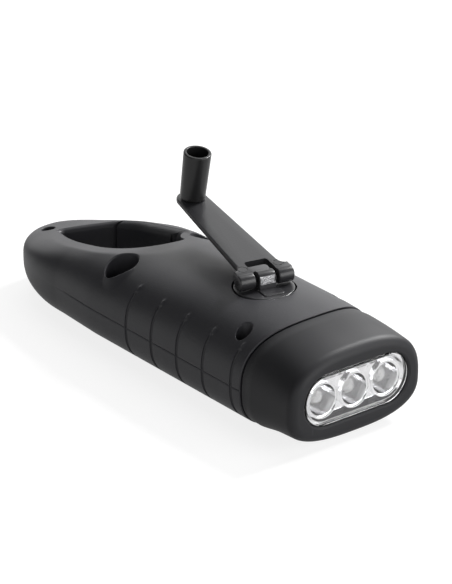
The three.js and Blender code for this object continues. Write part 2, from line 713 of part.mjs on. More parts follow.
const FIRST_AXLE_Y = (GEAR_MODULE * (GEAR_TEETH + PINION_TEETH)) / 2 + MESH_CLEARANCE;
const SECOND_AXLE_X = SECOND_AXLE_OFFSET_X;
const SECOND_AXLE_Y = FIRST_AXLE_Y - Math.sqrt(FIRST_AXLE_Y ** 2 - SECOND_AXLE_X ** 2);
const ROTOR_REACH = (GEAR_MODULE * (SECOND_GEAR_TEETH + PINION_TEETH)) / 2 + MESH_CLEARANCE;
const ROTOR_X = SECOND_AXLE_X + ROTOR_REACH * Math.cos(ROTOR_DIRECTION);
const ROTOR_Y = SECOND_AXLE_Y + ROTOR_REACH * Math.sin(ROTOR_DIRECTION);
const PLATE_TOP = PLATE_BOTTOM + PLATE_THICKNESS;
const BATTERY_RIGHT_X = ROTOR_X - STATOR_OUTER_RADIUS - BATTERY_STATOR_GAP;
const HUB_TOP = BODY_HEIGHT - HUB_SINK;
const HUB_FLOOR = HUB_TOP - HUB_THICKNESS - HUB_FLOOR_GAP;
const LENS_FRONT_Y = -NOSE_LENGTH + LENS_RECESS;
const LENS_FLANGE_FRONT_Y = -NOSE_LENGTH + CAP_FRONT_WALL + SEAT_GAP;
const LENS_FLANGE_BACK_Y = LENS_FLANGE_FRONT_Y + LENS_FLANGE_DEPTH;
const REFLECTOR_FRONT_Y = LENS_FRONT_Y + LENS_THICKNESS + SEAT_GAP;
const REFLECTOR_BACK_Y = REFLECTOR_FRONT_Y + REFLECTOR_DEPTH;
const LED_BOARD_FRONT_Y = REFLECTOR_BACK_Y + SEAT_GAP;

function platePosts() {
  return [
    [-PLATE_POST_X, PLATE_POST_Y],
    [PLATE_POST_X, PLATE_POST_Y],
    [PLATE_REAR_POST_X, PLATE_REAR_POST_Y],
  ];
}

function circuitPosts() {
  return [-1, 1].flatMap((side) => [
    [side * CIRCUIT_POST_X, CIRCUIT_POST_Y],
    [side * CIRCUIT_POST_X, CIRCUIT_REAR_POST_Y],
  ]);
}

// What stays solid inside the upper half.
function upperFittings() {
  const high = BODY_HEIGHT + CUT_OVERRUN;
  const columns = wells().map((well) => post(well.radius + WELL_WALL, PARTING_HEIGHT, high, well.x, well.y));
  const pad = post(HUB_PAD_RADIUS, HUB_PAD_BOTTOM, high);
  const bearing = post(BEARING_RADIUS, BEARING_BOTTOM, high);
  const axleBoss = post(AXLE_BOSS_RADIUS, AXLE_BOSS_BOTTOM, high, 0, FIRST_AXLE_Y);
  return unite([...columns, pad, bearing, axleBoss]);
}

// What stays solid inside the lower half.
function lowerFittings() {
  const stub = (radius, top) => ([x, y]) => post(radius, 0, top, x, y, SMALL_STEPS);
  const screwPosts = wells().map((well) => stub(POST_RADIUS, PARTING_HEIGHT)([well.x, well.y]));
  const stands = platePosts().map(stub(PLATE_POST_RADIUS, PLATE_BOTTOM));
  const boardStands = circuitPosts().map(stub(CIRCUIT_POST_RADIUS, CIRCUIT_BOTTOM));
  const panelFloor = block(
    -PANEL_HALF_WIDTH - SHELL_WALL, PANEL_HALF_WIDTH + SHELL_WALL,
    PANEL_FRONT_Y - SHELL_WALL, PANEL_BACK_Y + SHELL_WALL,
    0, PANEL_FLOOR_HEIGHT,
  );
  const rotorBoss = post(ROTOR_BOSS_RADIUS, 0, ROTOR_BOSS_TOP, ROTOR_X, ROTOR_Y);
  const seat = post(STATOR_OUTER_RADIUS, 0, STATOR_BOTTOM, ROTOR_X, ROTOR_Y)
    .subtract(post(STATOR_OUTER_RADIUS - STATOR_SEAT_WALL, 0, STATOR_BOTTOM, ROTOR_X, ROTOR_Y));
  return unite([...screwPosts, ...stands, ...boardStands, panelFloor, rotorBoss, seat]);
}

// The body form inside the cap, pulled in by `inset`, from y = front backwards.
function neckForm(inset, front, detail) {
  const reach = BODY_HALF_WIDTH + CUT_OVERRUN;
  const ahead = block(-reach, reach, -NOSE_LENGTH - CUT_OVERRUN, front, -CUT_OVERRUN, BODY_HEIGHT);
  return bodyForm(inset, -NOSE_LENGTH + CAP_FRONT_WALL, detail).subtract(ahead);
}

// The outer form of both halves: the body behind the seam and the neck inside the cap.
function housingForm() {
  const behind = bodyForm(0).subtract(headRegion(0));
  const neck = neckForm(CAP_WALL + CAP_CLEARANCE, NECK_FRONT_Y, OUTSIDE);
  return behind.add(neck).subtract(openingCut(0)).subtract(gateRoom(0));
}

// The hollow of both halves before their fittings are left in.
function housingHollow() {
  const rear = bodyForm(SHELL_WALL, -NOSE_LENGTH + SHELL_WALL, INSIDE).subtract(headRegion(-SHELL_WALL));
  const neck = neckForm(CAP_WALL + CAP_CLEARANCE + SHELL_WALL, -NOSE_LENGTH, INSIDE);
  return rear.add(neck).subtract(openingCut(SHELL_WALL)).subtract(gateRoom(SHELL_WALL));
}

function grooveCuts() {
  const reach = BODY_HALF_WIDTH + CUT_OVERRUN;
  const bands = [];
  for (let i = 0; i < GROOVE_COUNT; i += 1) {
    const bulgeY = GROOVE_FIRST_Y + i * GROOVE_PITCH;
    const band = arcBand(bulgeY, GROOVE_WIDTH, GROOVE_BOTTOM_HEIGHT, GROOVE_TOP_HEIGHT);
    bands.push(sideways(band, -reach, reach, GROOVE_STEPS));
  }
  return unite(bands).subtract(bodyForm(GROOVE_DEPTH, -NOSE_LENGTH + GROOVE_DEPTH, INSIDE));
}

const FORM = housingForm();
const HOLLOW = housingHollow();
const GROOVES = grooveCuts();

// Room that the upper half keeps round the crank gear and the gear plate.
function worksRoom() {
  const tip = (GEAR_MODULE * GEAR_TEETH) / 2 + GEAR_MODULE * GEAR_ADDENDUM_share + FACE_CLEARANCE;
  const gearTop = DRIVE_GEAR_BOTTOM + GEAR_WIDTH + FACE_CLEARANCE;
  const side = PLATE_HALF_WIDTH + FACE_CLEARANCE;
  const plate = block(
    -side, side,
    PLATE_FRONT_Y - FACE_CLEARANCE, PLATE_BACK_Y + FACE_CLEARANCE,
    PLATE_BOTTOM - FACE_CLEARANCE, PLATE_TOP + FACE_CLEARANCE,
  );
  return post(tip, DRIVE_GEAR_BOTTOM - FACE_CLEARANCE, gearTop, 0, 0, FINE_STEPS).add(plate);
}

function upperShell() {
  const high = BODY_HEIGHT + CUT_OVERRUN;
  const reach = BODY_HALF_WIDTH + CUT_OVERRUN;
  const half = block(-reach, reach, -NOSE_LENGTH, TAIL_LENGTH + CUT_OVERRUN, PARTING_HEIGHT, high);
  let shell = FORM.subtract(HOLLOW.subtract(upperFittings())).intersect(half);
  for (const well of wells()) {
    shell = shell.subtract(post(well.radius, well.seat, high, well.x, well.y));
    shell = shell.subtract(
      post(SCREW_SHANK_RADIUS + PIN_CLEARANCE, 0, well.seat + CUT_OVERRUN, well.x, well.y, TINY_STEPS),
    );
  }
  const recess = post(HUB_RADIUS + HUB_SIDE_GAP, HUB_FLOOR, high, 0, 0, FINE_STEPS);
  const bore = post(SHAFT_RADIUS + RUN_CLEARANCE, 0, high);
  const axleHole = post(AXLE_RADIUS + PIN_CLEARANCE, 0, FIRST_AXLE_TOP + FACE_CLEARANCE, 0, FIRST_AXLE_Y);
  const lug = gateLug().intersect(half);
  const cut = shell.subtract(recess).subtract(bore).subtract(axleHole).subtract(worksRoom());
  return cut.subtract(GROOVES).add(lug);
}

function lowerShell() {
  const reach = BODY_HALF_WIDTH + CUT_OVERRUN;
  const half = block(-reach, reach, -NOSE_LENGTH, TAIL_LENGTH + CUT_OVERRUN, -CUT_OVERRUN, PARTING_HEIGHT);
  const tall = platePosts().map(([x, y]) => (
    post(PLATE_POST_RADIUS, PARTING_HEIGHT / 2, PLATE_BOTTOM, x, y, SMALL_STEPS)
  ));
  let shell = FORM.subtract(HOLLOW.subtract(lowerFittings())).intersect(half).add(unite(tall));
  for (const well of wells()) {
    const pilot = post(
      SCREW_SHANK_RADIUS + PIN_CLEARANCE, SCREW_TIP_HEIGHT - FACE_CLEARANCE, BODY_HEIGHT,
      well.x, well.y, TINY_STEPS,
    );
    shell = shell.subtract(pilot);
  }
  for (const [x, y] of platePosts()) {
    shell = shell.subtract(
      post(
        PLATE_SCREW_SHANK_RADIUS + PIN_CLEARANCE,
        PLATE_TOP - PLATE_SCREW_LENGTH - FACE_CLEARANCE, BODY_HEIGHT, x, y, TINY_STEPS,
      ),
    );
  }
  const panel = raised(
    rectangle(
      -PANEL_HALF_WIDTH - PANEL_GAP, PANEL_HALF_WIDTH + PANEL_GAP,
      PANEL_FRONT_Y - PANEL_GAP, PANEL_BACK_Y + PANEL_GAP, PANEL_CORNER,
    ),
    -CUT_OVERRUN, PANEL_SINK + PANEL_THICKNESS, CORNER_STEPS,
  );
  const rotorBore = post(
    ROTOR_SHAFT_RADIUS + RUN_CLEARANCE, ROTOR_SHAFT_BOTTOM - FACE_CLEARANCE, BODY_HEIGHT, ROTOR_X, ROTOR_Y,
  );
  const buttonHole = post(BUTTON_RADIUS + BUTTON_GAP, -CUT_OVERRUN, PARTING_HEIGHT, 0, BUTTON_Y);
  const lug = gateLug().intersect(half);
  return shell.subtract(panel).subtract(rotorBore).subtract(buttonHole).subtract(GROOVES).add(lug);
}

function headCap() {
  const skinForm = bodyForm(0).intersect(headRegion(CAP_SEAM_GAP));
  const inside = bodyForm(CAP_WALL, -NOSE_LENGTH + CAP_FRONT_WALL);
  const window = facing(windowShape(0), -NOSE_LENGTH - CUT_OVERRUN, 0);
  const bevel = facing(windowShape(WINDOW_BEVEL), -NOSE_LENGTH - CUT_OVERRUN, -NOSE_LENGTH + LENS_RECESS);
  return skinForm.subtract(inside).subtract(window).subtract(bevel);
}

// Lens, reflector and LEDs

function lens() {
  const plug = facing(windowShape(-LENS_GAP), LENS_FRONT_Y, LENS_FRONT_Y + LENS_THICKNESS);
  const flange = facing(windowShape(LENS_FLANGE), LENS_FLANGE_FRONT_Y, LENS_FLANGE_BACK_Y);
  const wall = facing(windowShape(-LENS_GAP), LENS_FRONT_Y, LENS_FLANGE_BACK_Y);
  const hollow = facing(windowShape(-LENS_GAP - LENS_THICKNESS), LENS_FRONT_Y + LENS_THICKNESS, 0);
  return plug.add(flange).add(wall).subtract(hollow);
}

function bowl(x) {
  const profile = [[0, -CUT_OVERRUN], [BOWL_RADIUS, -CUT_OVERRUN], [BOWL_RADIUS, 0]];
  for (let i = 1; i <= BOWL_STEPS; i += 1) {
    const share = i / BOWL_STEPS;
    const depth = BOWL_DEPTH * share;
    const radius = BOWL_BASE_RADIUS + (BOWL_RADIUS - BOWL_BASE_RADIUS) * Math.sqrt(1 - share);
    profile.push([radius, depth]);
  }
  const hole = LED_RIM_RADIUS + SEAT_GAP;
  const behind = REFLECTOR_DEPTH + CUT_OVERRUN;
  profile.push([hole, BOWL_DEPTH], [hole, behind], [0, behind]);
  const outline = profile.map(([radius, depth]) => new THREE.Vector2(radius, depth));
  const geometry = new THREE.LatheGeometry(outline, ROUND_STEPS);
  geometry.translate(x, REFLECTOR_FRONT_Y, LED_HEIGHT);
  return solid(geometry);
}

function ledPlaces() {
  return [-LED_PITCH, 0, LED_PITCH];
}

function reflector() {
  const fit = -LENS_GAP - LENS_THICKNESS - SEAT_GAP;
  const core = facing(windowShape(fit), REFLECTOR_FRONT_Y, REFLECTOR_BACK_Y);
  const flangeFront = LENS_FLANGE_BACK_Y + SEAT_GAP;
  const flange = facing(windowShape(REFLECTOR_FLANGE), flangeFront, NECK_FRONT_Y - SEAT_GAP);
  return unite([core, flange]).subtract(unite(ledPlaces().map(bowl)));
}

// A round LED that looks along -Y, its back at y = 0.
function led() {
  const straight = LED_LENGTH - LED_RADIUS;
  const profile = [[0, 0], [LED_RIM_RADIUS, 0], [LED_RIM_RADIUS, LED_RIM_DEPTH], [LED_RADIUS, LED_RIM_DEPTH]];
  for (let i = 0; i <= DOME_STEPS; i += 1) {
    const turn = (i / DOME_STEPS) * (Math.PI / 2);
    const radius = i === DOME_STEPS ? 0 : LED_RADIUS * Math.cos(turn);
    profile.push([radius, straight + LED_RADIUS * Math.sin(turn)]);
  }
  const geometry = new THREE.LatheGeometry(
    profile.map(([radius, reach]) => new THREE.Vector2(radius, reach)),
    SMALL_STEPS,
  );
  geometry.rotateX(Math.PI);
  return solid(geometry);
}

function ledBoard() {
  const shape = windowShape(-LENS_GAP - LENS_THICKNESS - LED_BOARD_MARGIN);
  return facing(shape, LED_BOARD_FRONT_Y, LED_BOARD_FRONT_Y + BOARD_THICKNESS);
}

// Crank

// A knuckle about the X axis, from x = left to x = right, with eased ends.
function knuckle(left, right) {
  const inner = KNUCKLE_RADIUS - KNUCKLE_BEVEL;
  const profile = [
    [0, left],
    [inner, left],
    [KNUCKLE_RADIUS, left + KNUCKLE_BEVEL],
    [KNUCKLE_RADIUS, right - KNUCKLE_BEVEL],
    [inner, right],
    [0, right],
  ];
  const geometry = new THREE.LatheGeometry(
    profile.map(([radius, x]) => new THREE.Vector2(radius, x)),
    ROUND_STEPS,
  );
  geometry.rotateZ(-Math.PI / 2);
  return solid(geometry);
}

function alongHinge(radius, left, right, steps = SMALL_STEPS) {
  const geometry = new THREE.CylinderGeometry(radius, radius, right - left, steps);
  geometry.rotateZ(Math.PI / 2);
  geometry.translate((left + right) / 2, 0, 0);
  return solid(geometry);
}

function crankHub() {
  const bottom = HUB_TOP - HUB_THICKNESS;
  const disc = post(HUB_RADIUS, bottom, HUB_TOP, 0, 0, FINE_STEPS);
  const round = post(SHAFT_RADIUS, DRIVE_GEAR_BOTTOM + GEAR_WIDTH + FACE_CLEARANCE, bottom);
  const keyed = post(SHAFT_RADIUS, SHAFT_BOTTOM, bottom).intersect(
    block(-SHAFT_FLAT, SHAFT_FLAT, -SHAFT_RADIUS, SHAFT_RADIUS, SHAFT_BOTTOM, bottom),
  );
  const hinge = BODY_HEIGHT + HINGE_HEIGHT;
  const middle = knuckle(-MIDDLE_KNUCKLE_HALF_WIDTH, MIDDLE_KNUCKLE_HALF_WIDTH).translate(0, 0, hinge);
  const web = block(
    -MIDDLE_KNUCKLE_HALF_WIDTH, MIDDLE_KNUCKLE_HALF_WIDTH,
    -KNUCKLE_RADIUS, KNUCKLE_RADIUS,
    bottom, hinge,
  );
  const tab = block(
    -MIDDLE_KNUCKLE_HALF_WIDTH, MIDDLE_KNUCKLE_HALF_WIDTH,
    0, HUB_TAB_LENGTH,
    bottom, HUB_TOP + HUB_TAB_THICKNESS,
  );
  const pad = block(
    -HUB_PAD_HALF_WIDTH, HUB_PAD_HALF_WIDTH,
    HUB_PAD_FRONT_Y, HUB_PAD_BACK_Y,
    bottom, HUB_TOP + HUB_PAD_HEIGHT,
  );
  const pinBore = alongHinge(HINGE_PIN_RADIUS + RUN_CLEARANCE, -HUB_RADIUS, HUB_RADIUS)
    .translate(0, 0, hinge);
  const boreTop = SHAFT_BOTTOM + HUB_SCREW_LENGTH + FACE_CLEARANCE;
  const screwBore = post(SHAFT_BORE_RADIUS, 0, boreTop, 0, 0, SMALL_STEPS);
  return unite([disc, round, keyed, middle, web, tab, pad]).subtract(pinBore).subtract(screwBore);
}

function hubScrew() {
  const head = post(HUB_SCREW_HEAD_RADIUS, SHAFT_BOTTOM - HUB_SCREW_HEAD_HEIGHT, SHAFT_BOTTOM);
  const tip = SHAFT_BOTTOM + HUB_SCREW_LENGTH;
  const shank = post(SHAFT_BORE_RADIUS - PIN_CLEARANCE, SHAFT_BOTTOM, tip, 0, 0, SMALL_STEPS);
  return head.add(shank);
}

// The arm lies along +Y with its hinge axis on X. Its flat top is tangent to the knuckles.
function crankArm() {
  const top = KNUCKLE_RADIUS;
  const bottom = top - ARM_THICKNESS;
  const shape = new THREE.Shape();
  shape.moveTo(HINGE_HALF_WIDTH, 0);
  shape.lineTo(HINGE_HALF_WIDTH, ARM_FLARE_START);
  shape.quadraticCurveTo(
    ARM_ROOT_HALF_WIDTH, ARM_FLARE_START,
    ARM_ROOT_HALF_WIDTH, ARM_FLARE_END,
  );
  shape.lineTo(ARM_END_RADIUS, ARM_LENGTH);
  shape.absarc(0, ARM_LENGTH, ARM_END_RADIUS, 0, Math.PI, false);
  shape.lineTo(-ARM_ROOT_HALF_WIDTH, ARM_FLARE_END);
  shape.quadraticCurveTo(
    -ARM_ROOT_HALF_WIDTH, ARM_FLARE_START,
    -HINGE_HALF_WIDTH, ARM_FLARE_START,
  );
  shape.lineTo(-HINGE_HALF_WIDTH, 0);
  shape.closePath();
  const tip = ARM_LENGTH + ARM_END_RADIUS;
  const side = new THREE.Shape();
  side.moveTo(0, bottom);
  side.lineTo(tip, top - ARM_END_THICKNESS);
  side.lineTo(tip, top);
  side.lineTo(0, top);
  side.closePath();
  const plate = raised(shape, bottom, top).intersect(sideways(side, -HINGE_HALF_WIDTH, HINGE_HALF_WIDTH));
  const knuckles = unite([
    knuckle(-HINGE_HALF_WIDTH, -ARM_KNUCKLE_INNER),
    knuckle(ARM_KNUCKLE_INNER, HINGE_HALF_WIDTH),
  ]);
  const window = block(
    -ARM_KNUCKLE_INNER, ARM_KNUCKLE_INNER,
    -KNUCKLE_RADIUS - CUT_OVERRUN, ARM_WINDOW_END,
    -CUT_OVERRUN, CUT_OVERRUN,
  );
  const pinBore = alongHinge(
    HINGE_PIN_RADIUS + PIN_CLEARANCE, -HINGE_HALF_WIDTH - CUT_OVERRUN, HINGE_HALF_WIDTH + CUT_OVERRUN,
  );
  const postBore = post(POST_SHANK_RADIUS + POST_FOOT_GAP, -CUT_OVERRUN, CUT_OVERRUN, 0, ARM_LENGTH);
  return plate.add(knuckles).subtract(window).subtract(pinBore).subtract(postBore);
}

// The post and the knob stand on the arm, with z = 0 at the arm's top. The post's
// shank goes down through the arm, and its collar rests on the arm's top.
function knobPost() {
  const head = KNOB_WEB_TOP + KNOB_GAP;
  const foot = -ARM_END_THICKNESS;
  const body = turned([
    [0, foot],
    [POST_SHANK_RADIUS, foot],
    [POST_SHANK_RADIUS, POST_COLLAR_BOTTOM],
    [POST_COLLAR_RADIUS, POST_COLLAR_BOTTOM],
    [POST_COLLAR_RADIUS, POST_COLLAR_TOP],
    [POST_SHANK_RADIUS, POST_COLLAR_TOP],
    [POST_SHANK_RADIUS, head],
    [POST_HEAD_RADIUS, head],
    [POST_SHANK_RADIUS, head + POST_HEAD_HEIGHT],
    [0, head + POST_HEAD_HEIGHT],
  ]);
  const slot = block(
    -POST_HEAD_RADIUS, POST_HEAD_RADIUS,
    -POST_SLOT / 2, POST_SLOT / 2,
    KNOB_WEB_BOTTOM, head + POST_HEAD_HEIGHT + CUT_OVERRUN,
  );
  return body.subtract(slot);
}

function crankKnob() {
  const post = POST_SHANK_RADIUS + RUN_CLEARANCE;
  return turned([
    [KNOB_BORE_RADIUS, KNOB_GAP],
    [KNOB_BASE_RADIUS, KNOB_GAP],
    [KNOB_TOP_RADIUS, KNOB_HEIGHT - KNOB_EDGE],
    [KNOB_TOP_RADIUS - KNOB_EDGE, KNOB_HEIGHT],
    [KNOB_BORE_RADIUS, KNOB_HEIGHT],
    [KNOB_BORE_RADIUS, KNOB_WEB_TOP],
    [post, KNOB_WEB_TOP],
    [post, KNOB_WEB_BOTTOM],
    [KNOB_BORE_RADIUS, KNOB_WEB_BOTTOM],
    [KNOB_BORE_RADIUS, KNOB_GAP],
  ], KNOB_STEPS);
}

// Gears

// A spur gear's outline, with the middle of one tooth on the +X axis.
function gearShape(teeth) {
  const pitch = (GEAR_MODULE * teeth) / 2;
  const base = pitch * Math.cos(PRESSURE_ANGLE);
  const tip = pitch + GEAR_MODULE * GEAR_ADDENDUM_share;
  const root = pitch - GEAR_MODULE * GEAR_DEDENDUM_share;
  const involute = (angle) => Math.tan(angle) - angle;
  const halfTooth = (radius) => {
    const pressure = Math.acos(Math.min(1, base / Math.max(radius, base)));
    const atPitch = Math.PI / (2 * teeth) - GEAR_BACKLASH / (2 * pitch);
    return atPitch + involute(PRESSURE_ANGLE) - involute(pressure);
  };
  const shape = new THREE.Shape();
  const put = (radius, angle, first) => {
    const x = radius * Math.cos(angle);
    const y = radius * Math.sin(angle);
    if (first) shape.moveTo(x, y);
    else shape.lineTo(x, y);
  };
  for (let i = 0; i < teeth; i += 1) {
    const middle = (2 * Math.PI * i) / teeth;
    put(root, middle - halfTooth(root), i === 0);
    put(tip, middle - halfTooth(tip), false);
    put(tip, middle + halfTooth(tip), false);
    put(root, middle + halfTooth(root), false);
  }
  shape.closePath();
  return shape;
}

function gear(teeth, bottom, top) {
  return raised(gearShape(teeth), bottom, top);
}

// Turn of a pinion whose tooth gap faces back along `direction` from its own centre.
function meshTurn(direction, teeth) {
  return direction + Math.PI + Math.PI / teeth;
}

function driveGear() {
  const wheel = gear(GEAR_TEETH, DRIVE_GEAR_BOTTOM, DRIVE_GEAR_BOTTOM + GEAR_WIDTH);
  const flat = SHAFT_FLAT + PIN_CLEARANCE;
  const round = SHAFT_RADIUS + PIN_CLEARANCE;
  const hole = post(round, 0, BODY_HEIGHT).intersect(block(-flat, flat, -round, round, 0, BODY_HEIGHT));
  return { wheel, hole };
}

// A pinion joined to the wheel one level below it, bored for its axle.
function compoundGear(wheelTeeth, wheelBottom, pinionTop, wheelTurn, pinionTurn) {
  const wheel = gear(wheelTeeth, wheelBottom, wheelBottom + GEAR_WIDTH).rotate(0, 0, wheelTurn);
  const pinion = gear(PINION_TEETH, wheelBottom + GEAR_WIDTH / 2, pinionTop).rotate(0, 0, pinionTurn);
  const bore = post(AXLE_RADIUS + RUN_CLEARANCE, 0, BODY_HEIGHT, 0, 0, SMALL_STEPS);
  return wheel.add(pinion).subtract(bore);
}

const degrees = THREE.MathUtils.radToDeg;
const FIRST_WHEEL_BOTTOM = DRIVE_GEAR_BOTTOM - GEAR_WIDTH - GEAR_LEVEL_GAP;
const SECOND_WHEEL_BOTTOM = FIRST_WHEEL_BOTTOM - GEAR_WIDTH - GEAR_LEVEL_GAP;
const FIRST_TO_SECOND = Math.atan2(SECOND_AXLE_Y - FIRST_AXLE_Y, SECOND_AXLE_X);

function firstIdler() {
  return compoundGear(
    GEAR_TEETH, FIRST_WHEEL_BOTTOM, DRIVE_GEAR_BOTTOM + GEAR_WIDTH + PINION_OVERLAP,
    degrees(FIRST_TO_SECOND), degrees(meshTurn(Math.PI / 2, PINION_TEETH)),
  );
}

function secondIdler() {
  return compoundGear(
    SECOND_GEAR_TEETH, SECOND_WHEEL_BOTTOM, FIRST_WHEEL_BOTTOM + GEAR_WIDTH - PINION_OVERLAP,
    degrees(ROTOR_DIRECTION), degrees(meshTurn(FIRST_TO_SECOND, PINION_TEETH)),
  );
}

function rotor() {
  const pinion = gear(
    PINION_TEETH, SECOND_WHEEL_BOTTOM - PINION_OVERLAP, SECOND_WHEEL_BOTTOM + GEAR_WIDTH + PINION_OVERLAP,
  ).rotate(0, 0, degrees(meshTurn(ROTOR_DIRECTION, PINION_TEETH)));
  const shaftTop = SECOND_WHEEL_BOTTOM + GEAR_WIDTH;
  const shaft = post(ROTOR_SHAFT_RADIUS, ROTOR_SHAFT_BOTTOM, shaftTop, 0, 0, SMALL_STEPS);
  const magnet = post(MAGNET_RADIUS, MAGNET_BOTTOM, MAGNET_TOP);
  return unite([pinion, shaft, magnet]);
}

// The stator's bobbin: two flanges with the winding drawn in between them.
function stator() {
  const waist = STATOR_OUTER_RADIUS - STATOR_WAIST;
  return turned([
    [STATOR_INNER_RADIUS, STATOR_BOTTOM],
    [STATOR_OUTER_RADIUS, STATOR_BOTTOM],
    [STATOR_OUTER_RADIUS, STATOR_BOTTOM + STATOR_FLANGE],
    [waist, STATOR_BOTTOM + STATOR_FLANGE],
    [waist, STATOR_TOP - STATOR_FLANGE],
    [STATOR_OUTER_RADIUS, STATOR_TOP - STATOR_FLANGE],
    [STATOR_OUTER_RADIUS, STATOR_TOP],
    [STATOR_INNER_RADIUS, STATOR_TOP],
    [STATOR_INNER_RADIUS, STATOR_BOTTOM],
  ], KNOB_STEPS);
}

function gearPlate() {
  const outline = rectangle(-PLATE_HALF_WIDTH, PLATE_HALF_WIDTH, PLATE_FRONT_Y, PLATE_BACK_Y, PLATE_CORNER);
  let plate = raised(outline, PLATE_BOTTOM, PLATE_TOP, CORNER_STEPS);
  const holes = [
    [0, FIRST_AXLE_Y, AXLE_RADIUS + PIN_CLEARANCE],
    [SECOND_AXLE_X, SECOND_AXLE_Y, AXLE_RADIUS + PIN_CLEARANCE],
    [ROTOR_X, ROTOR_Y, ROTOR_SHAFT_RADIUS + RUN_CLEARANCE],
  ];
  for (const [x, y] of platePosts()) {
    holes.push([x, y, PLATE_SCREW_SHANK_RADIUS + PIN_CLEARANCE]);
  }
  for (const [x, y, radius] of holes) {
    plate = plate.subtract(post(radius, 0, BODY_HEIGHT, x, y, SMALL_STEPS));
  }
  return plate;
}

function plateScrew() {
  const headTop = PLATE_TOP + PLATE_SCREW_HEAD_HEIGHT;
  const head = post(PLATE_SCREW_HEAD_RADIUS, PLATE_TOP, headTop, 0, 0, SMALL_STEPS);
  const shank = post(PLATE_SCREW_SHANK_RADIUS, PLATE_TOP - PLATE_SCREW_LENGTH, PLATE_TOP, 0, 0, TINY_STEPS);
  return head.add(shank);
}

// Electronics and underside

function circuitBoard() {
  const board = block(
    -CIRCUIT_HALF_WIDTH, CIRCUIT_HALF_WIDTH,
    CIRCUIT_FRONT_Y, CIRCUIT_BACK_Y,
    CIRCUIT_BOTTOM, CIRCUIT_BOTTOM + BOARD_THICKNESS,
  );
  const top = CIRCUIT_BOTTOM + BOARD_THICKNESS;
  const chip = block(
    -CHIP_SIZE / 2, CHIP_SIZE / 2,
    BUTTON_Y - CHIP_SIZE / 2, BUTTON_Y + CHIP_SIZE / 2,
    top - BOARD_THICKNESS / 2, top + CHIP_HEIGHT,
  );
  return board.add(chip);
}

function tactSwitch() {
  const bodyBottom = CIRCUIT_BOTTOM - SWITCH_BODY_HEIGHT;
  const body = block(
    -SWITCH_HALF_WIDTH, SWITCH_HALF_WIDTH,
    BUTTON_Y - SWITCH_HALF_WIDTH, BUTTON_Y + SWITCH_HALF_WIDTH,
    bodyBottom, CIRCUIT_BOTTOM,
  );
  const stem = post(
    SWITCH_STEM_RADIUS, BUTTON_TOP + BUTTON_TRAVEL + BUTTON_GAP, CIRCUIT_BOTTOM, 0, BUTTON_Y, SMALL_STEPS,
  );
  return body.add(stem);
}

function pushButton() {
  const cap = post(BUTTON_RADIUS, BUTTON_SINK, BUTTON_TOP, 0, BUTTON_Y);
  const flange = post(
    BUTTON_FLANGE_RADIUS, BUTTON_FLANGE_BOTTOM, BUTTON_FLANGE_BOTTOM + BUTTON_FLANGE_THICKNESS, 0, BUTTON_Y,
  );
  const dish = new THREE.SphereGeometry(1, ROUND_STEPS, SMALL_STEPS);
  dish.scale(BUTTON_DISH_RADIUS, BUTTON_DISH_RADIUS, BUTTON_DISH);
  dish.translate(0, BUTTON_Y, BUTTON_SINK);
  return cap.add(flange).subtract(solid(dish));
}

function solarPanel() {
  const outline = rectangle(-PANEL_HALF_WIDTH, PANEL_HALF_WIDTH, PANEL_FRONT_Y, PANEL_BACK_Y, PANEL_CORNER);
  return raised(outline, PANEL_SINK, PANEL_SINK + PANEL_THICKNESS, CORNER_STEPS);
}

function battery() {
  const outline = rectangle(
    BATTERY_LEFT_X, BATTERY_RIGHT_X, BATTERY_FRONT_Y, BATTERY_BACK_Y, BATTERY_CORNER,
  );
  return raised(outline, BATTERY_BOTTOM, BATTERY_TOP, CORNER_STEPS);
}

// Finishes

const BLACK_SHELL = { color: 0x1d1d20, roughness: 0.62, metalness: 0 };
const SOFT_CAP = { color: 0x18181a, roughness: 0.8, metalness: 0 };
const CRANK_PLASTIC = { color: 0x1b1b1d, roughness: 0.45, metalness: 0 };
const CLEAR = { color: 0xeef2f4, roughness: 0.05, metalness: 0, transparent: true, opacity: 0.3 };
const CHROME = { color: 0xe6e8ea, roughness: 0.1, metalness: 1 };
const STEEL = { color: 0xa8abb0, roughness: 0.35, metalness: 1 };
const LED_RESIN = { color: 0xf6f4ea, roughness: 0.12, metalness: 0 };
const BOARD_GREEN = { color: 0x1d5b34, roughness: 0.5, metalness: 0 };
const WHITE_GEAR = { color: 0xe8e6df, roughness: 0.45, metalness: 0 };
const COPPER = { color: 0xb06a3a, roughness: 0.4, metalness: 0.8 };
const SOLAR_BLUE = { color: 0x101a33, roughness: 0.2, metalness: 0.1 };
const BATTERY_WRAP = { color: 0x2c6e9e, roughness: 0.4, metalness: 0 };
const BUTTON_RUBBER = { color: 0x2a2a2d, roughness: 0.75, metalness: 0 };

// Assembly

function at(mesh, x, y, z) {
  mesh.position.set(x, y, z);
  return mesh;
}

function buildHousing(root) {
  root.add(piece("upper_shell", upperShell(), BLACK_SHELL));
  root.add(piece("lower_shell", lowerShell(), BLACK_SHELL));
  root.add(piece("head_cap", headCap(), SOFT_CAP));
  const names = ["front_left", "front_right", "rear_left", "rear_right", "tail"];
  wells().forEach((well, i) => {
    const body = screw(well.seat, SCREW_TIP_HEIGHT);
    root.add(at(piece("case_screw_" + names[i], body, STEEL), well.x, well.y, 0));
  });
}

function buildLight(root) {
  root.add(piece("lens", lens(), CLEAR));
  root.add(piece("reflector", reflector(), CHROME));
  root.add(piece("led_board", ledBoard(), BOARD_GREEN));
  const names = ["left", "middle", "right"];
  ledPlaces().forEach((x, i) => {
    root.add(at(piece("led_" + names[i], led(), LED_RESIN), x, LED_BOARD_FRONT_Y, LED_HEIGHT));
  });
}

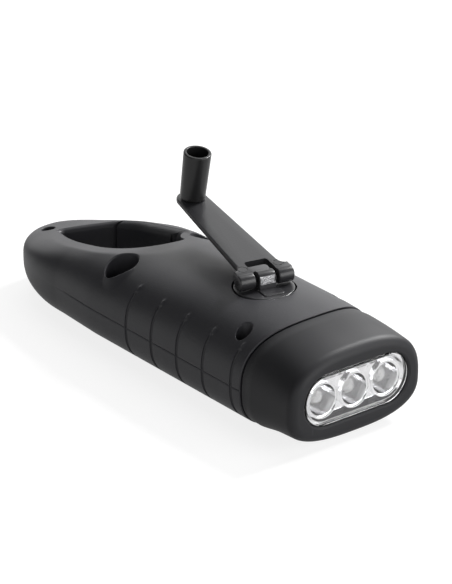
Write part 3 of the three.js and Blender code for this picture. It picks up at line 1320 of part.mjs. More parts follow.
function buildCrank(root) {
  const spin = new THREE.Group();
  spin.rotation.z = CRANK_ANGLE;
  spin.add(piece("crank_hub", crankHub(), CRANK_PLASTIC));
  spin.add(piece("hub_screw", hubScrew(), STEEL));
  const { wheel, hole } = driveGear();
  const turn = degrees(Math.PI / 2 - CRANK_ANGLE);
  spin.add(piece("crank_gear", wheel.rotate(0, 0, turn).subtract(hole), WHITE_GEAR));
  const fold = new THREE.Group();
  fold.position.z = BODY_HEIGHT + HINGE_HEIGHT;
  fold.rotation.x = ARM_RAISE;
  fold.add(piece("crank_arm", crankArm(), CRANK_PLASTIC));
  fold.add(
    piece("hinge_pin", alongHinge(HINGE_PIN_RADIUS, -HINGE_HALF_WIDTH, HINGE_HALF_WIDTH), STEEL),
  );
  const grip = new THREE.Group();
  grip.position.set(0, ARM_LENGTH, KNUCKLE_RADIUS);
  grip.rotation.set(KNOB_LEAN_BACK, KNOB_LEAN_SIDE, 0);
  grip.add(piece("knob_post", knobPost(), CRANK_PLASTIC));
  grip.add(piece("crank_knob", crankKnob(), CRANK_PLASTIC));
  fold.add(grip);
  spin.add(fold);
  root.add(spin);
}

function buildGearTrain(root) {
  root.add(at(piece("idler_first", firstIdler(), WHITE_GEAR), 0, FIRST_AXLE_Y, 0));
  root.add(at(piece("idler_second", secondIdler(), WHITE_GEAR), SECOND_AXLE_X, SECOND_AXLE_Y, 0));
  const firstAxle = post(AXLE_RADIUS, PLATE_BOTTOM, FIRST_AXLE_TOP, 0, 0, SMALL_STEPS);
  root.add(at(piece("idler_axle_first", firstAxle, STEEL), 0, FIRST_AXLE_Y, 0));
  const secondTop = FIRST_WHEEL_BOTTOM + GEAR_WIDTH - PINION_OVERLAP;
  const secondAxle = post(AXLE_RADIUS, PLATE_BOTTOM, secondTop, 0, 0, SMALL_STEPS);
  root.add(at(piece("idler_axle_second", secondAxle, STEEL), SECOND_AXLE_X, SECOND_AXLE_Y, 0));
  root.add(at(piece("generator_rotor", rotor(), STEEL), ROTOR_X, ROTOR_Y, 0));
  root.add(at(piece("generator_stator", stator(), COPPER), ROTOR_X, ROTOR_Y, 0));
  root.add(piece("gear_plate", gearPlate(), STEEL));
  platePosts().forEach(([x, y], i) => {
    root.add(at(piece("plate_screw_" + (i + 1), plateScrew(), STEEL), x, y, 0));
  });
}

function buildGate(root) {
  root.add(piece("gate", gateBody(), BLACK_SHELL));
  const pin = post(GATE_PIN_RADIUS, GATE_PIN_BOTTOM, GATE_PIN_TOP, 0, 0, SMALL_STEPS);
  root.add(at(piece("gate_pin", pin, STEEL), GATE_PIVOT_X, GATE_PIVOT_Y, 0));
  const inner = GATE_PIN_RADIUS + FACE_CLEARANCE;
  const spring = turned([
    [inner, GATE_SLOT_BOTTOM + PIN_CLEARANCE],
    [GATE_SPRING_RADIUS, GATE_SLOT_BOTTOM + PIN_CLEARANCE],
    [GATE_SPRING_RADIUS, GATE_LUG_BOTTOM - FACE_CLEARANCE],
    [inner, GATE_LUG_BOTTOM - FACE_CLEARANCE],
    [inner, GATE_SLOT_BOTTOM + PIN_CLEARANCE],
  ], ROUND_STEPS);
  root.add(at(piece("gate_spring", spring, STEEL), GATE_PIVOT_X, GATE_PIVOT_Y, 0));
}

function buildElectronics(root) {
  root.add(piece("circuit_board", circuitBoard(), BOARD_GREEN));
  root.add(piece("tact_switch", tactSwitch(), STEEL));
  root.add(piece("push_button", pushButton(), BUTTON_RUBBER));
  root.add(piece("solar_panel", solarPanel(), SOLAR_BLUE));
  root.add(piece("battery", battery(), BATTERY_WRAP));
}

const flashlight = new THREE.Group();
buildHousing(flashlight);
buildLight(flashlight);
buildCrank(flashlight);
buildGearTrain(flashlight);
buildGate(flashlight);
buildElectronics(flashlight);

export default flashlight;
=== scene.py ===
"""Hand crank flashlight: the surfaces, finishes, camera and light that go on the fixed frame.

Lengths in the size classes are millimetres, in the frame's own axes: +Z up along the crank's
spin axis, -Y out of the lens. Meshes are turned into metres when they become objects.
"""

import logging
import math
from dataclasses import dataclass
from enum import Enum

import bpy
import numpy as np
from mathutils import Matrix, Vector


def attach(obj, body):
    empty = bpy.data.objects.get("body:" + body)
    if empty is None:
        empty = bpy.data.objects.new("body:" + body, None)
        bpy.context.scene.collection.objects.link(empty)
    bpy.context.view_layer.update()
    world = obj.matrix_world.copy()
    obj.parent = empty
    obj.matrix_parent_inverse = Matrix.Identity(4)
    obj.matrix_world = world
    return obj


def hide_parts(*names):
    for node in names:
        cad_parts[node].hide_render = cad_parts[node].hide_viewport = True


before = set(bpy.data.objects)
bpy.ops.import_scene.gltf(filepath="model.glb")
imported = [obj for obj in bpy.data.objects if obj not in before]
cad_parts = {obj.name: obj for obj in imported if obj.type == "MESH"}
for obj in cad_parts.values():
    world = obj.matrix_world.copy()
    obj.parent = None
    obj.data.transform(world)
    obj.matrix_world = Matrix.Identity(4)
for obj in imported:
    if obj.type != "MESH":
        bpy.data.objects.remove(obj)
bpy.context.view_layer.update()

LOG = logging.getLogger("flashlight")
MILLIMETRE = 0.001
# Cutters reach this far past the body, in millimetres.
BEYOND = 6.0


class Ends(Enum):
    """How the two ends of a grid of rings are closed."""

    FACE = "one flat face over each end"
    STRIPS = "strips across each end between mirrored points"
    LOOP = "the last ring joins the first"


class Solid:
    """A closed mesh in millimetres that can be joined with others and cut by them."""

    def __init__(self, mesh: bpy.types.Mesh) -> None:
        """Keeps a closed mesh whose faces point outwards."""
        self.mesh = mesh

    @staticmethod
    def from_faces(points: np.ndarray, faces: list) -> "Solid":
        """Makes a solid from points and faces.

        Args:
            points: array (n, 3) of places.
            faces: lists of point numbers.

        Returns:
            The solid, turned so that its volume is positive.
        """
        mesh = bpy.data.meshes.new("solid")
        mesh.from_pydata(points.tolist(), [], faces)
        mesh.validate()
        solid = Solid(mesh)
        if solid.volume() < 0:
            mesh.flip_normals()
        return solid

    @staticmethod
    def rings(points: np.ndarray, ends: Ends) -> "Solid":
        """Stitches rings of points into one closed skin.

        Each ring is joined to the next by quads, and the ends are closed as `ends` says. For
        strips, point i of a ring lies opposite point n - i, at the same height.

        Args:
            points: array (rings, points in a ring, 3).
            ends: how the first and last ring are closed.

        Returns:
            The closed solid.
        """
        rows, count = points.shape[:2]
        last = rows if ends is Ends.LOOP else rows - 1
        row, col = np.meshgrid(np.arange(last), np.arange(count), indexing="ij")
        here, ahead, over = row * count, (row + 1) % rows * count, (col + 1) % count
        quads = np.stack([here + col, here + over, ahead + over, ahead + col], -1)
        faces = quads.reshape(-1, 4).tolist()
        first = np.arange(count)
        tail = (rows - 1) * count + first
        if ends is Ends.FACE:
            faces += [first[::-1].tolist(), tail.tolist()]
        if ends is Ends.STRIPS:
            i = np.arange(count // 2)
            low, high = (count - i) % count, (count - i - 1) % count
            for tri in (np.stack([i, high, low], -1), np.stack([i, i + 1, high], -1)):
                keep = (tri[:, 0] != tri[:, 1]) & (tri[:, 1] != tri[:, 2]) & (tri[:, 0] != tri[:, 2])
                faces += tri[keep][:, ::-1].tolist()
                faces += (tri[keep] + tail[0]).tolist()
        return Solid.from_faces(points.reshape(-1, 3), faces)

    def volume(self) -> float:
        """Signed volume: a sum of tetrahedra from the origin over the face triangles.

        Returns:
            The volume, in cubic millimetres.
        """
        self.mesh.calc_loop_triangles()
        tris = np.zeros(len(self.mesh.loop_triangles) * 3, np.int32)
        self.mesh.loop_triangles.foreach_get("vertices", tris)
        places = np.zeros(len(self.mesh.vertices) * 3)
        self.mesh.vertices.foreach_get("co", places)
        a, b, c = np.moveaxis(places.reshape(-1, 3)[tris.reshape(-1, 3)], 1, 0)
        return float(np.einsum("ij,ij->i", a, np.cross(b, c)).sum() / 6)

    def _combine(self, other: "Solid", operation: str) -> "Solid":
        """Runs one boolean and returns its result as a new solid.

        Args:
            other: the second solid.
            operation: UNION, DIFFERENCE or INTERSECT.

        Returns:
            The result.
        """
        first, second = set_out("first", self.mesh), set_out("second", other.mesh)
        cut = first.modifiers.new("combine", "BOOLEAN")
        cut.operation = operation
        cut.solver = "MANIFOLD"
        cut.object = second
        graph = bpy.context.evaluated_depsgraph_get()
        mesh = bpy.data.meshes.new_from_object(first.evaluated_get(graph))
        bpy.data.objects.remove(first)
        bpy.data.objects.remove(second)
        if len(mesh.polygons) == 0:
            LOG.warning("%s left nothing", operation)
        return Solid(mesh)

    def add(self, *others: "Solid") -> "Solid":
        """Joins this solid with others.

        Args:
            others: the other solids.

        Returns:
            The joined solid.
        """
        whole = self
        for other in others:
            whole = whole._combine(other, "UNION")
        return whole

    def cut(self, *others: "Solid") -> "Solid":
        """Takes others away from this solid.

        Args:
            others: the solids to take away.

        Returns:
            What is left.
        """
        whole = self
        for other in others:
            whole = whole._combine(other, "DIFFERENCE")
        return whole

    def common(self, other: "Solid") -> "Solid":
        """What this solid and another share."""
        return self._combine(other, "INTERSECT")

    def moved(self, matrix: Matrix) -> "Solid":
        """A copy in another place.

        Args:
            matrix: where to, in millimetres.

        Returns:
            The copy.
        """
        mesh = self.mesh.copy()
        mesh.transform(matrix)
        return Solid(mesh)

    def finished(self, name: str, sharp: float = 32.0) -> bpy.types.Object:
        """Makes the solid a smooth-shaded object in metres.

        Args:
            name: the piece's name.
            sharp: edges that turn more than this many degrees stay crisp.

        Returns:
            The object, linked to the scene.
        """
        mesh = self.mesh.copy()
        mesh.name = name
        mesh.transform(Matrix.Scale(MILLIMETRE, 4))
        mesh.materials.clear()
        mesh.shade_smooth()
        mesh.set_sharp_from_angle(angle=math.radians(sharp))
        return set_out(name, mesh)


def set_out(name: str, data: bpy.types.ID) -> bpy.types.Object:
    """Makes a new object and links it to the scene.

    Args:
        name: its name.
        data: its mesh, light or camera.

    Returns:
        The object.
    """
    made = bpy.data.objects.new(name, data)
    bpy.context.scene.collection.objects.link(made)
    return made


def at_height(plan: np.ndarray, height: np.ndarray | float) -> np.ndarray:
    """A plan outline at one height, or each of its points at its own."""
    return np.column_stack([plan, np.broadcast_to(height, len(plan))])


def degrees(start: float, end: float, count: int) -> np.ndarray:
    """Even angles from start to end, given in degrees, in radians."""
    return np.radians(np.linspace(start, end, count))


def quarter(start: float, end: float, count: int) -> np.ndarray:
    """Pairs (1 - cos t, 1 - sin t) of a unit quarter circle, t from start to end degrees."""
    turn = degrees(start, end, count)
    return np.stack([1 - np.cos(turn), 1 - np.sin(turn)], -1)


def circle(steps: int) -> np.ndarray:
    """Points round a unit circle: (cos t, sin t)."""
    turn = np.linspace(0, 2 * np.pi, steps, endpoint=False)
    return np.stack([np.cos(turn), np.sin(turn)], -1)


def prism(outline: np.ndarray, low: float, high: float) -> Solid:
    """A plan outline, array (n, 2), raised along Z from low to high."""
    return Solid.rings(np.stack([at_height(outline, low), at_height(outline, high)]), Ends.FACE)


def block(x0: float, x1: float, y0: float, y1: float, z0: float, z1: float) -> Solid:
    """A box between two corners."""
    return prism(np.array([[x0, y0], [x1, y0], [x1, y1], [x0, y1]]), z0, z1)


def lathe(profile: list, steps: int = 96, ends: Ends = Ends.FACE) -> Solid:
    """Turns a profile about the Z axis: x = r cos t, y = r sin t.

    Args:
        profile: (radius, height) pairs, from one flat end to the other, or for a loop once
            round a closed profile that stays off the axis.
        steps: points round each ring.
        ends: how the two ends are closed.

    Returns:
        The turned solid.
    """
    return Solid.rings(np.stack([at_height(circle(steps) * r, z) for r, z in profile]), ends)


def post(radius: float, low: float, high: float, x: float = 0.0, y: float = 0.0, steps: int = 48) -> Solid:
    """A round bar along Z, standing at x and y."""
    return lathe([(radius, low), (radius, high)], steps).moved(Matrix.Translation((x, y, 0)))


def flared_post(
    radius: float, low: float, mouth: float, top: float, ease: float, x: float, y: float
) -> Solid:
    """A round cutter whose mouth opens by a quarter circle.

    At angle t its radius is r + ease (1 - cos t), at the height mouth - ease (1 - sin t).

    Args:
        radius: radius of the hole.
        low: height of its bottom.
        mouth: height of the face that it opens in.
        top: height of the cutter's top.
        ease: radius of the quarter circle.
        x: place across.
        y: place along.

    Returns:
        The cutter.
    """
    lip = [(radius + ease * out, mouth - ease * drop) for out, drop in quarter(0, 80, 7)]
    cutter = lathe([(radius, low), *lip, (radius + ease, top)], 72)
    return cutter.moved(Matrix.Translation((x, y, 0)))


def smooth(low: float, high: float, value: np.ndarray) -> np.ndarray:
    """Smooth step 3 t^2 - 2 t^3 of a value, t being 0 at low and 1 at high."""
    t = np.clip((value - low) / (high - low), 0, 1)
    return t * t * (3 - 2 * t)


def arc(x: float, y: float, radius: float, start: float, end: float, count: int) -> np.ndarray:
    """Points on an arc, from angle start to angle end."""
    turn = np.linspace(start, end, count)
    return np.stack([x + radius * np.cos(turn), y + radius * np.sin(turn)], -1)


def curve(a: tuple, b: tuple, c: tuple, count: int) -> np.ndarray:
    """Points inside the curve (1 - t)^2 a + 2 t (1 - t) b + t^2 c, drawn towards b."""
    t = np.linspace(0, 1, count + 2)[1:-1, None]
    return (1 - t) ** 2 * np.array(a) + 2 * t * (1 - t) * np.array(b) + t**2 * np.array(c)


def rounded(x0: float, x1: float, y0: float, y1: float, corner: float) -> np.ndarray:
    """A rectangle with round corners.

    Args:
        x0: its lower x.
        x1: its higher x.
        y0: its lower y.
        y1: its higher y.
        corner: radius of the corners.

    Returns:
        Array (n, 2), counterclockwise from its lower right.
    """
    left, right, low, high = x0 + corner, x1 - corner, y0 + corner, y1 - corner
    places = (right, low), (right, high), (left, high), (left, low)
    return np.concatenate(
        [arc(x, y, corner, (i - 1) * math.pi / 2, i * math.pi / 2, 8) for i, (x, y) in enumerate(places)]
    )


def grown(outline: np.ndarray, by: np.ndarray | float) -> np.ndarray:
    """An outline moved out along its own normals.

    The normal at a point is the chord between its neighbours, turned by a right angle.

    Args:
        outline: array (n, 2), counterclockwise.
        by: how far, for the whole outline or point by point.

    Returns:
        The grown outline.
    """
    chord = np.roll(outline, -1, 0) - np.roll(outline, 1, 0)
    normal = np.stack([chord[:, 1], -chord[:, 0]], -1)
    normal /= np.linalg.norm(normal, axis=1, keepdims=True)
    return outline + normal * np.reshape(by, (-1, 1))


@dataclass(frozen=True)
class Well:
    """A screw well in the upper half."""

    x: float
    y: float
    radius: float
    seat: float
    ease: float


@dataclass(frozen=True)
class BodyForm:
    """The body's outer form: superellipse sections carried along the length."""

    height: float = 36.0
    parting: float = 14.3
    nose: float = 46.8
    tail: float = 118.5
    half_width: float = 27.0
    tail_half_width: float = 25.8
    taper_start: float = 60.0
    round_start: float = 80.0
    belly_depth: float = 14.6
    deck_powers: tuple = (2.7, 2.45)
    tail_powers: tuple = (3.6, 1.9)
    belly_powers: tuple = (2.75, 3.4)
    tail_round: float = 2.24
    tail_drop: float = 8.0
    plateau_z: float = 29.8
    plateau_y: float = 64.0
    plateau_fall: float = 0.2
    plateau_ease: float = 0.1
    seam_y: float = -21.0
    seam_radius: float = 35.0
    seam_top_radius: float = 26.0
    bulges: tuple = (-16.4, -1.9, 11.6, 25.1, 38.6)
    groove_half: float = 0.62
    groove_depth: float = 0.75
    groove_top: float = 26.9
    groove_bottom: float = 1.2
    nub_height: float = 0.35
    deck_shares: tuple = (
        (-1, 0.786), (-0.77, 0.9), (-0.6, 0.95), (-0.235, 1), (0.093, 1), (0.278, 0.94),
        (0.422, 0.88), (0.557, 0.825), (0.675, 0.68), (0.8, 0.475), (0.9, 0.31), (1, 0.2),
    )
    belly_shares: tuple = ((-1, 0.883), (-0.81, 0.885), (-0.53, 0.995), (0.5, 1), (0.72, 0.995), (1, 0.56))

    def read(self, table: tuple, at: np.ndarray) -> np.ndarray:
        """A smooth monotone curve through a table of shares.

        Between two points it is the cubic whose slopes there are the harmonic mean of the
        slopes of the chords on each side.

        Args:
            table: (place, value) pairs.
            at: the places to read.

        Returns:
            The values.
        """
        x, v = np.array(table, float).T
        chord = np.diff(v) / np.diff(x)
        before, after = chord[:-1], chord[1:]
        with np.errstate(divide="ignore", invalid="ignore"):
            inner = np.where(before * after <= 0, 0, 2 * before * after / (before + after))
        slope = np.concatenate([chord[:1], inner, chord[-1:]])
        k = np.clip(np.searchsorted(x, at) - 1, 0, len(x) - 2)
        span = x[k + 1] - x[k]
        t = np.clip((at - x[k]) / span, 0, 1)
        rise = t * t * (3 - 2 * t)
        return (
            v[k] + (v[k + 1] - v[k]) * rise
            + t * (1 - t) ** 2 * span * slope[k] + t * t * (t - 1) * span * slope[k + 1]
        )

    def section(self, y: np.ndarray, inset: np.ndarray, far: np.ndarray) -> tuple:
        """The section at y, which is smaller by `inset`.

        Behind the nose the exponents go from the first to the second of their pair. Behind
        taper_start the near side grows squarer and the far side rounder. At the tail the half
        width closes by (1 - e^n)^(1/n), n being tail_round, and the heights likewise with
        tail_drop; e is the share of the length from round_start to the tail.

        Args:
            y: places along the length.
            inset: how far the section lies inside the outer form.
            far: whether each point is on the far side, +X.

        Returns:
            Half width, deck and belly measured from the parting, and the exponents of both.
        """
        share = np.where(y < 0, y / self.nose, y / self.tail)
        ended = np.clip((y - self.round_start) / (self.tail - inset - self.round_start), 0, 1)
        taper = np.clip((y - self.taper_start) / (self.round_start - self.taper_start), 0, 1)
        half = self.half_width + (self.tail_half_width - self.half_width) * taper
        side = (1 - ended**self.tail_round) ** (1 / self.tail_round)
        end = (1 - ended**self.tail_drop) ** (1 / self.tail_drop)
        back = np.clip((y + self.nose) / (self.nose / 2), 0, 1)
        near_tail = np.clip((y - self.taper_start) / (self.tail - self.taper_start), 0, 1)
        top = self.deck_powers[0] + (self.deck_powers[1] - self.deck_powers[0]) * back
        near, away = self.tail_powers
        top = top + (np.where(far, away, near) - top) * near_tail**1.4
        belly = self.belly_powers[0] + (self.belly_powers[1] - self.belly_powers[0]) * back
        deck = (self.height - self.parting) * self.read(self.deck_shares, share)
        depth = self.belly_depth * self.read(self.belly_shares, share)
        return (half - inset) * side, (deck - inset) * end, (depth - inset) * end, top, belly

    def sag(self, z: np.ndarray) -> np.ndarray:
        """How far the seam falls forward of its bulge at height z.

        Below the parting it is a circle's arc, above it a squarer one: r - (r^3 - rise^3)^(1/3).

        Args:
            z: heights.

        Returns:
            The distances forward.
        """
        under = np.clip(self.parting - z, 0, self.seam_radius)
        over = np.clip(z - self.parting, 0, self.seam_top_radius)
        round_part = self.seam_radius - np.sqrt(self.seam_radius**2 - under**2)
        return round_part + self.seam_top_radius - np.cbrt(self.seam_top_radius**3 - over**3)

    def capped(self, z: np.ndarray, y: np.ndarray, inset: np.ndarray | float) -> np.ndarray:
        """Heights cut off by the flat plateau round the ring.

        The plateau falls evenly towards the tail; the lower of the two heights is taken, and
        the edge between them is eased by -k log(exp(-a / k) + exp(-b / k)).

        Args:
            z: heights of the round form.
            y: places along the length.
            inset: how far the point lies inside the outer form.

        Returns:
            The heights under the plateau.
        """
        top = self.plateau_z - self.plateau_fall * (y - self.plateau_y) - inset
        return -self.plateau_ease * np.logaddexp(-z / self.plateau_ease, -top / self.plateau_ease)

    def surface(
        self, turn: np.ndarray, run: np.ndarray, inset: np.ndarray, lean: np.ndarray, floor: float = 0.0
    ) -> np.ndarray:
        """Points of the body's skin.

        x = width * cos(turn)^(2/n) and z = parting + reach * sin(turn)^(2/n) with the section's
        own exponent n, cut flat at the underside. A row's y is its run less `lean` times the
        sag of the seam's arc at that height, so the rows lie along the seam and the grooves.

        Args:
            turn: angle round the section, from +X over the top.
            run: place of the row along the length, where the arc bulges most.
            inset: how far the point lies inside the outer form.
            lean: share of the arc's sag that the row takes.
            floor: lowest height.

        Returns:
            Array (..., 3) of places.
        """
        turn, run, inset, lean = np.broadcast_arrays(turn, run, inset, lean)
        across, upright = np.cos(turn), np.sin(turn)
        above = upright >= 0
        y = np.array(run, float)
        for _ in range(7):
            width, deck, belly, top, under = self.section(y, inset, across > 0)
            power = 2 / np.where(above, top, under)
            reach = np.where(above, deck, belly)
            z = self.parting + reach * np.sign(upright) * np.abs(upright) ** power
            z = np.maximum(self.capped(z, y, inset), floor)
            y = run - lean * self.sag(z)
        x = width * np.sign(across) * np.abs(across) ** power
        return np.stack([x, y, z], -1)

    def deck_height(self, x: np.ndarray, y: np.ndarray) -> np.ndarray:
        """Height of the outer form over a place in plan.

        It is parting + deck (1 - |x / width|^n)^(1/n), cut off by the plateau.

        Args:
            x: places across.
            y: places along.

        Returns:
            The heights.
        """
        width, deck, _, top, _ = self.section(y, 0.0, x > 0)
        across = np.clip(np.abs(x) / np.maximum(width, 1e-6), 0, 1)
        return self.capped(self.parting + deck * (1 - across**top) ** (1 / top), y, 0.0)

    def belly_height(self, x: np.ndarray, y: np.ndarray) -> np.ndarray:
        """Height of the underside over a place in plan.

        It is parting - depth (1 - |x / width|^n)^(1/n), and 0 where it is flat.

        Args:
            x: places across.
            y: places along.

        Returns:
            The heights.
        """
        width, _, depth, _, under = self.section(y, 0.0, x > 0)
        across = np.clip(np.abs(x) / np.maximum(width, 1e-6), 0, 1)
        return np.maximum(self.parting - depth * (1 - across**under) ** (1 / under), 0)

    def turns(self, start: float, count: int) -> np.ndarray:
        """Angles over one half of a section, closer together by the parting line.

        Args:
            start: the first angle.
            count: even angles, to which eight more are added.

        Returns:
            The angles, in radians.
        """
        even = np.linspace(0, np.pi, count)
        near = np.array([0.0018, 0.006, 0.014, 0.026])
        return start + np.unique(np.concatenate([even, near, np.pi - near]))

    def rows(self) -> tuple:
        """The rows behind the seam, close together at the seam and at each groove.

        Returns:
            The run of each row and the share of the seam's sag that it takes.
        """
        bulges = np.array(self.bulges)
        close = self.groove_half * np.array([-1.5, -1.15, -1, -0.8, -0.5, 0, 0.5, 0.8, 1, 1.15, 1.5])
        near = (bulges[:, None] + close).ravel()
        seam = self.seam_y + np.array([0, 0.12, 0.3, 0.6, 1.2])
        even = np.linspace(self.seam_y + 2.2, self.round_start, 64)
        clear = np.abs(even[:, None] - bulges).min(1) > 1.3
        end = self.round_start + (self.tail - self.round_start) * np.sin(degrees(1.5, 89.4, 56))
        runs = np.unique(np.concatenate([seam, near, even[clear], end]))
        return runs, 1 - smooth(48.0, 84.0, runs)

    def groove(self, points: np.ndarray, run: np.ndarray) -> np.ndarray:
        """Depth of the grip grooves: round-bottomed, fading at their ends, with a nub over each.

        Across a groove the depth goes by (1 - (off / half)^2)^0.6, and a nub is the bell
        exp(-(off / 0.55)^2 - (rise / 0.55)^2).

        Args:
            points: places on the plain skin.
            run: the run of each row.

        Returns:
            How far each point is pulled in.
        """
        off = np.abs(run[:, None] - np.array(self.bulges)).min(1)[:, None]
        bed = np.clip(1 - (off / (self.groove_half * 1.15)) ** 2, 0, 1) ** 0.6
        z = points[..., 2]
        ends = smooth(self.groove_top, self.groove_top - 0.9, z)
        ends = ends * smooth(self.groove_bottom, self.groove_bottom + 1.2, z)
        nub = np.exp(-((off / 0.55) ** 2) - ((z - self.groove_top - 1.1) / 0.55) ** 2)
        return self.groove_depth * bed * ends - self.nub_height * nub

    def half(self, upper: bool, count: int = 161) -> Solid:
        """One half of the body behind the seam, closed flat at the parting.

        Args:
            upper: the crank side, or else the underside.
            count: angles over the half section.

        Returns:
            The closed half with its grip grooves, its edges eased at the seam and the parting.
        """
        run, lean = self.rows()
        turn = self.turns(0.0 if upper else np.pi, count)
        plain = self.surface(turn, run[:, None], 0.0, lean[:, None])
        inset = self.groove(plain, run)
        inset = inset + 0.3 * np.clip(1 - (run[:, None] - self.seam_y) / 0.35, 0, 1) ** 2
        off = np.abs(plain[..., 2] - self.parting)
        shown = 1 - smooth(70.0, 82.0, plain[..., 1])
        inset = inset + 0.22 * shown * np.clip(1 - off / 0.4, 0, 1) ** 1.5
        points = self.surface(turn, run[:, None], inset, lean[:, None])
        points[:, [0, -1], 2] = self.parting
        return self.closed_half(points)

    @staticmethod
    def closed_half(points: np.ndarray) -> Solid:
        """Closes a half skin: flat along the parting, and strips across its two ends.

        Args:
            points: array (rows, points in a row, 3), each row from side to side.

        Returns:
            The closed half.
        """
        rows, count = points.shape[:2]
        row, col = np.meshgrid(np.arange(rows - 1), np.arange(count - 1), indexing="ij")
        at = row * count + col
        quads = np.stack([at, at + 1, at + count + 1, at + count], -1).reshape(-1, 4)
        r = np.arange(rows - 1)
        flat = np.stack([(r + 1) * count, r * count + count - 1, r * count], -1)
        other = np.stack([(r + 1) * count, (r + 2) * count - 1, (r + 1) * count - 1], -1)
        i = np.arange((count - 1) // 2)
        faces = quads.tolist() + flat.tolist() + other.tolist()
        for base, turned in ((0, False), ((rows - 1) * count, True)):
            a, b = base + i, base + i + 1
            c, d = base + count - 1 - i, base + count - 2 - i
            first = np.stack([a, c, b], -1)
            second = np.stack([b, c, d], -1)
            second = second[(b != d)]
            for tri in (first, second):
                faces += (tri[:, ::-1] if turned else tri).tolist()
        return Solid.from_faces(points.reshape(-1, 3), faces)

    def whole(self, inset: float, front: float, count: int, stations: int) -> Solid:
        """The whole body form from y = front to the tail, in plain rows.

        Args:
            inset: how far it is pulled in.
            front: where it starts.
            count: points round a row.
            stations: rows before round_start, and again behind it.

        Returns:
            The closed form.
        """
        run = np.concatenate(
            [
                np.linspace(front, self.round_start, stations),
                self.round_start
                + (self.tail - inset - self.round_start) * np.sin(degrees(8, 88, stations)),
            ]
        )
        turn = (np.arange(count) + 0.5) / count * 2 * np.pi
        points = self.surface(turn, run[:, None], inset, 0.0, inset)
        return Solid.rings(points, Ends.FACE)

    def head_region(self, gap: float) -> Solid:
        """Everything in front of the seam.

        Args:
            gap: how far the seam is moved forward.

        Returns:
            The region.
        """
        reach = self.height - self.parting + BEYOND
        height = self.parting + np.linspace(-reach, reach, 128)
        rim = np.column_stack([self.seam_y - gap - self.sag(height), height])
        front = -self.nose - BEYOND
        back = np.array([[front, self.parting + reach], [front, self.parting - reach]])
        side = np.concatenate([rim, back])
        far = self.half_width + BEYOND
        rings = np.stack(
            [np.concatenate([np.full((len(side), 1), x), side], 1) for x in (-far, far)]
        )
        return Solid.rings(rings, Ends.FACE)


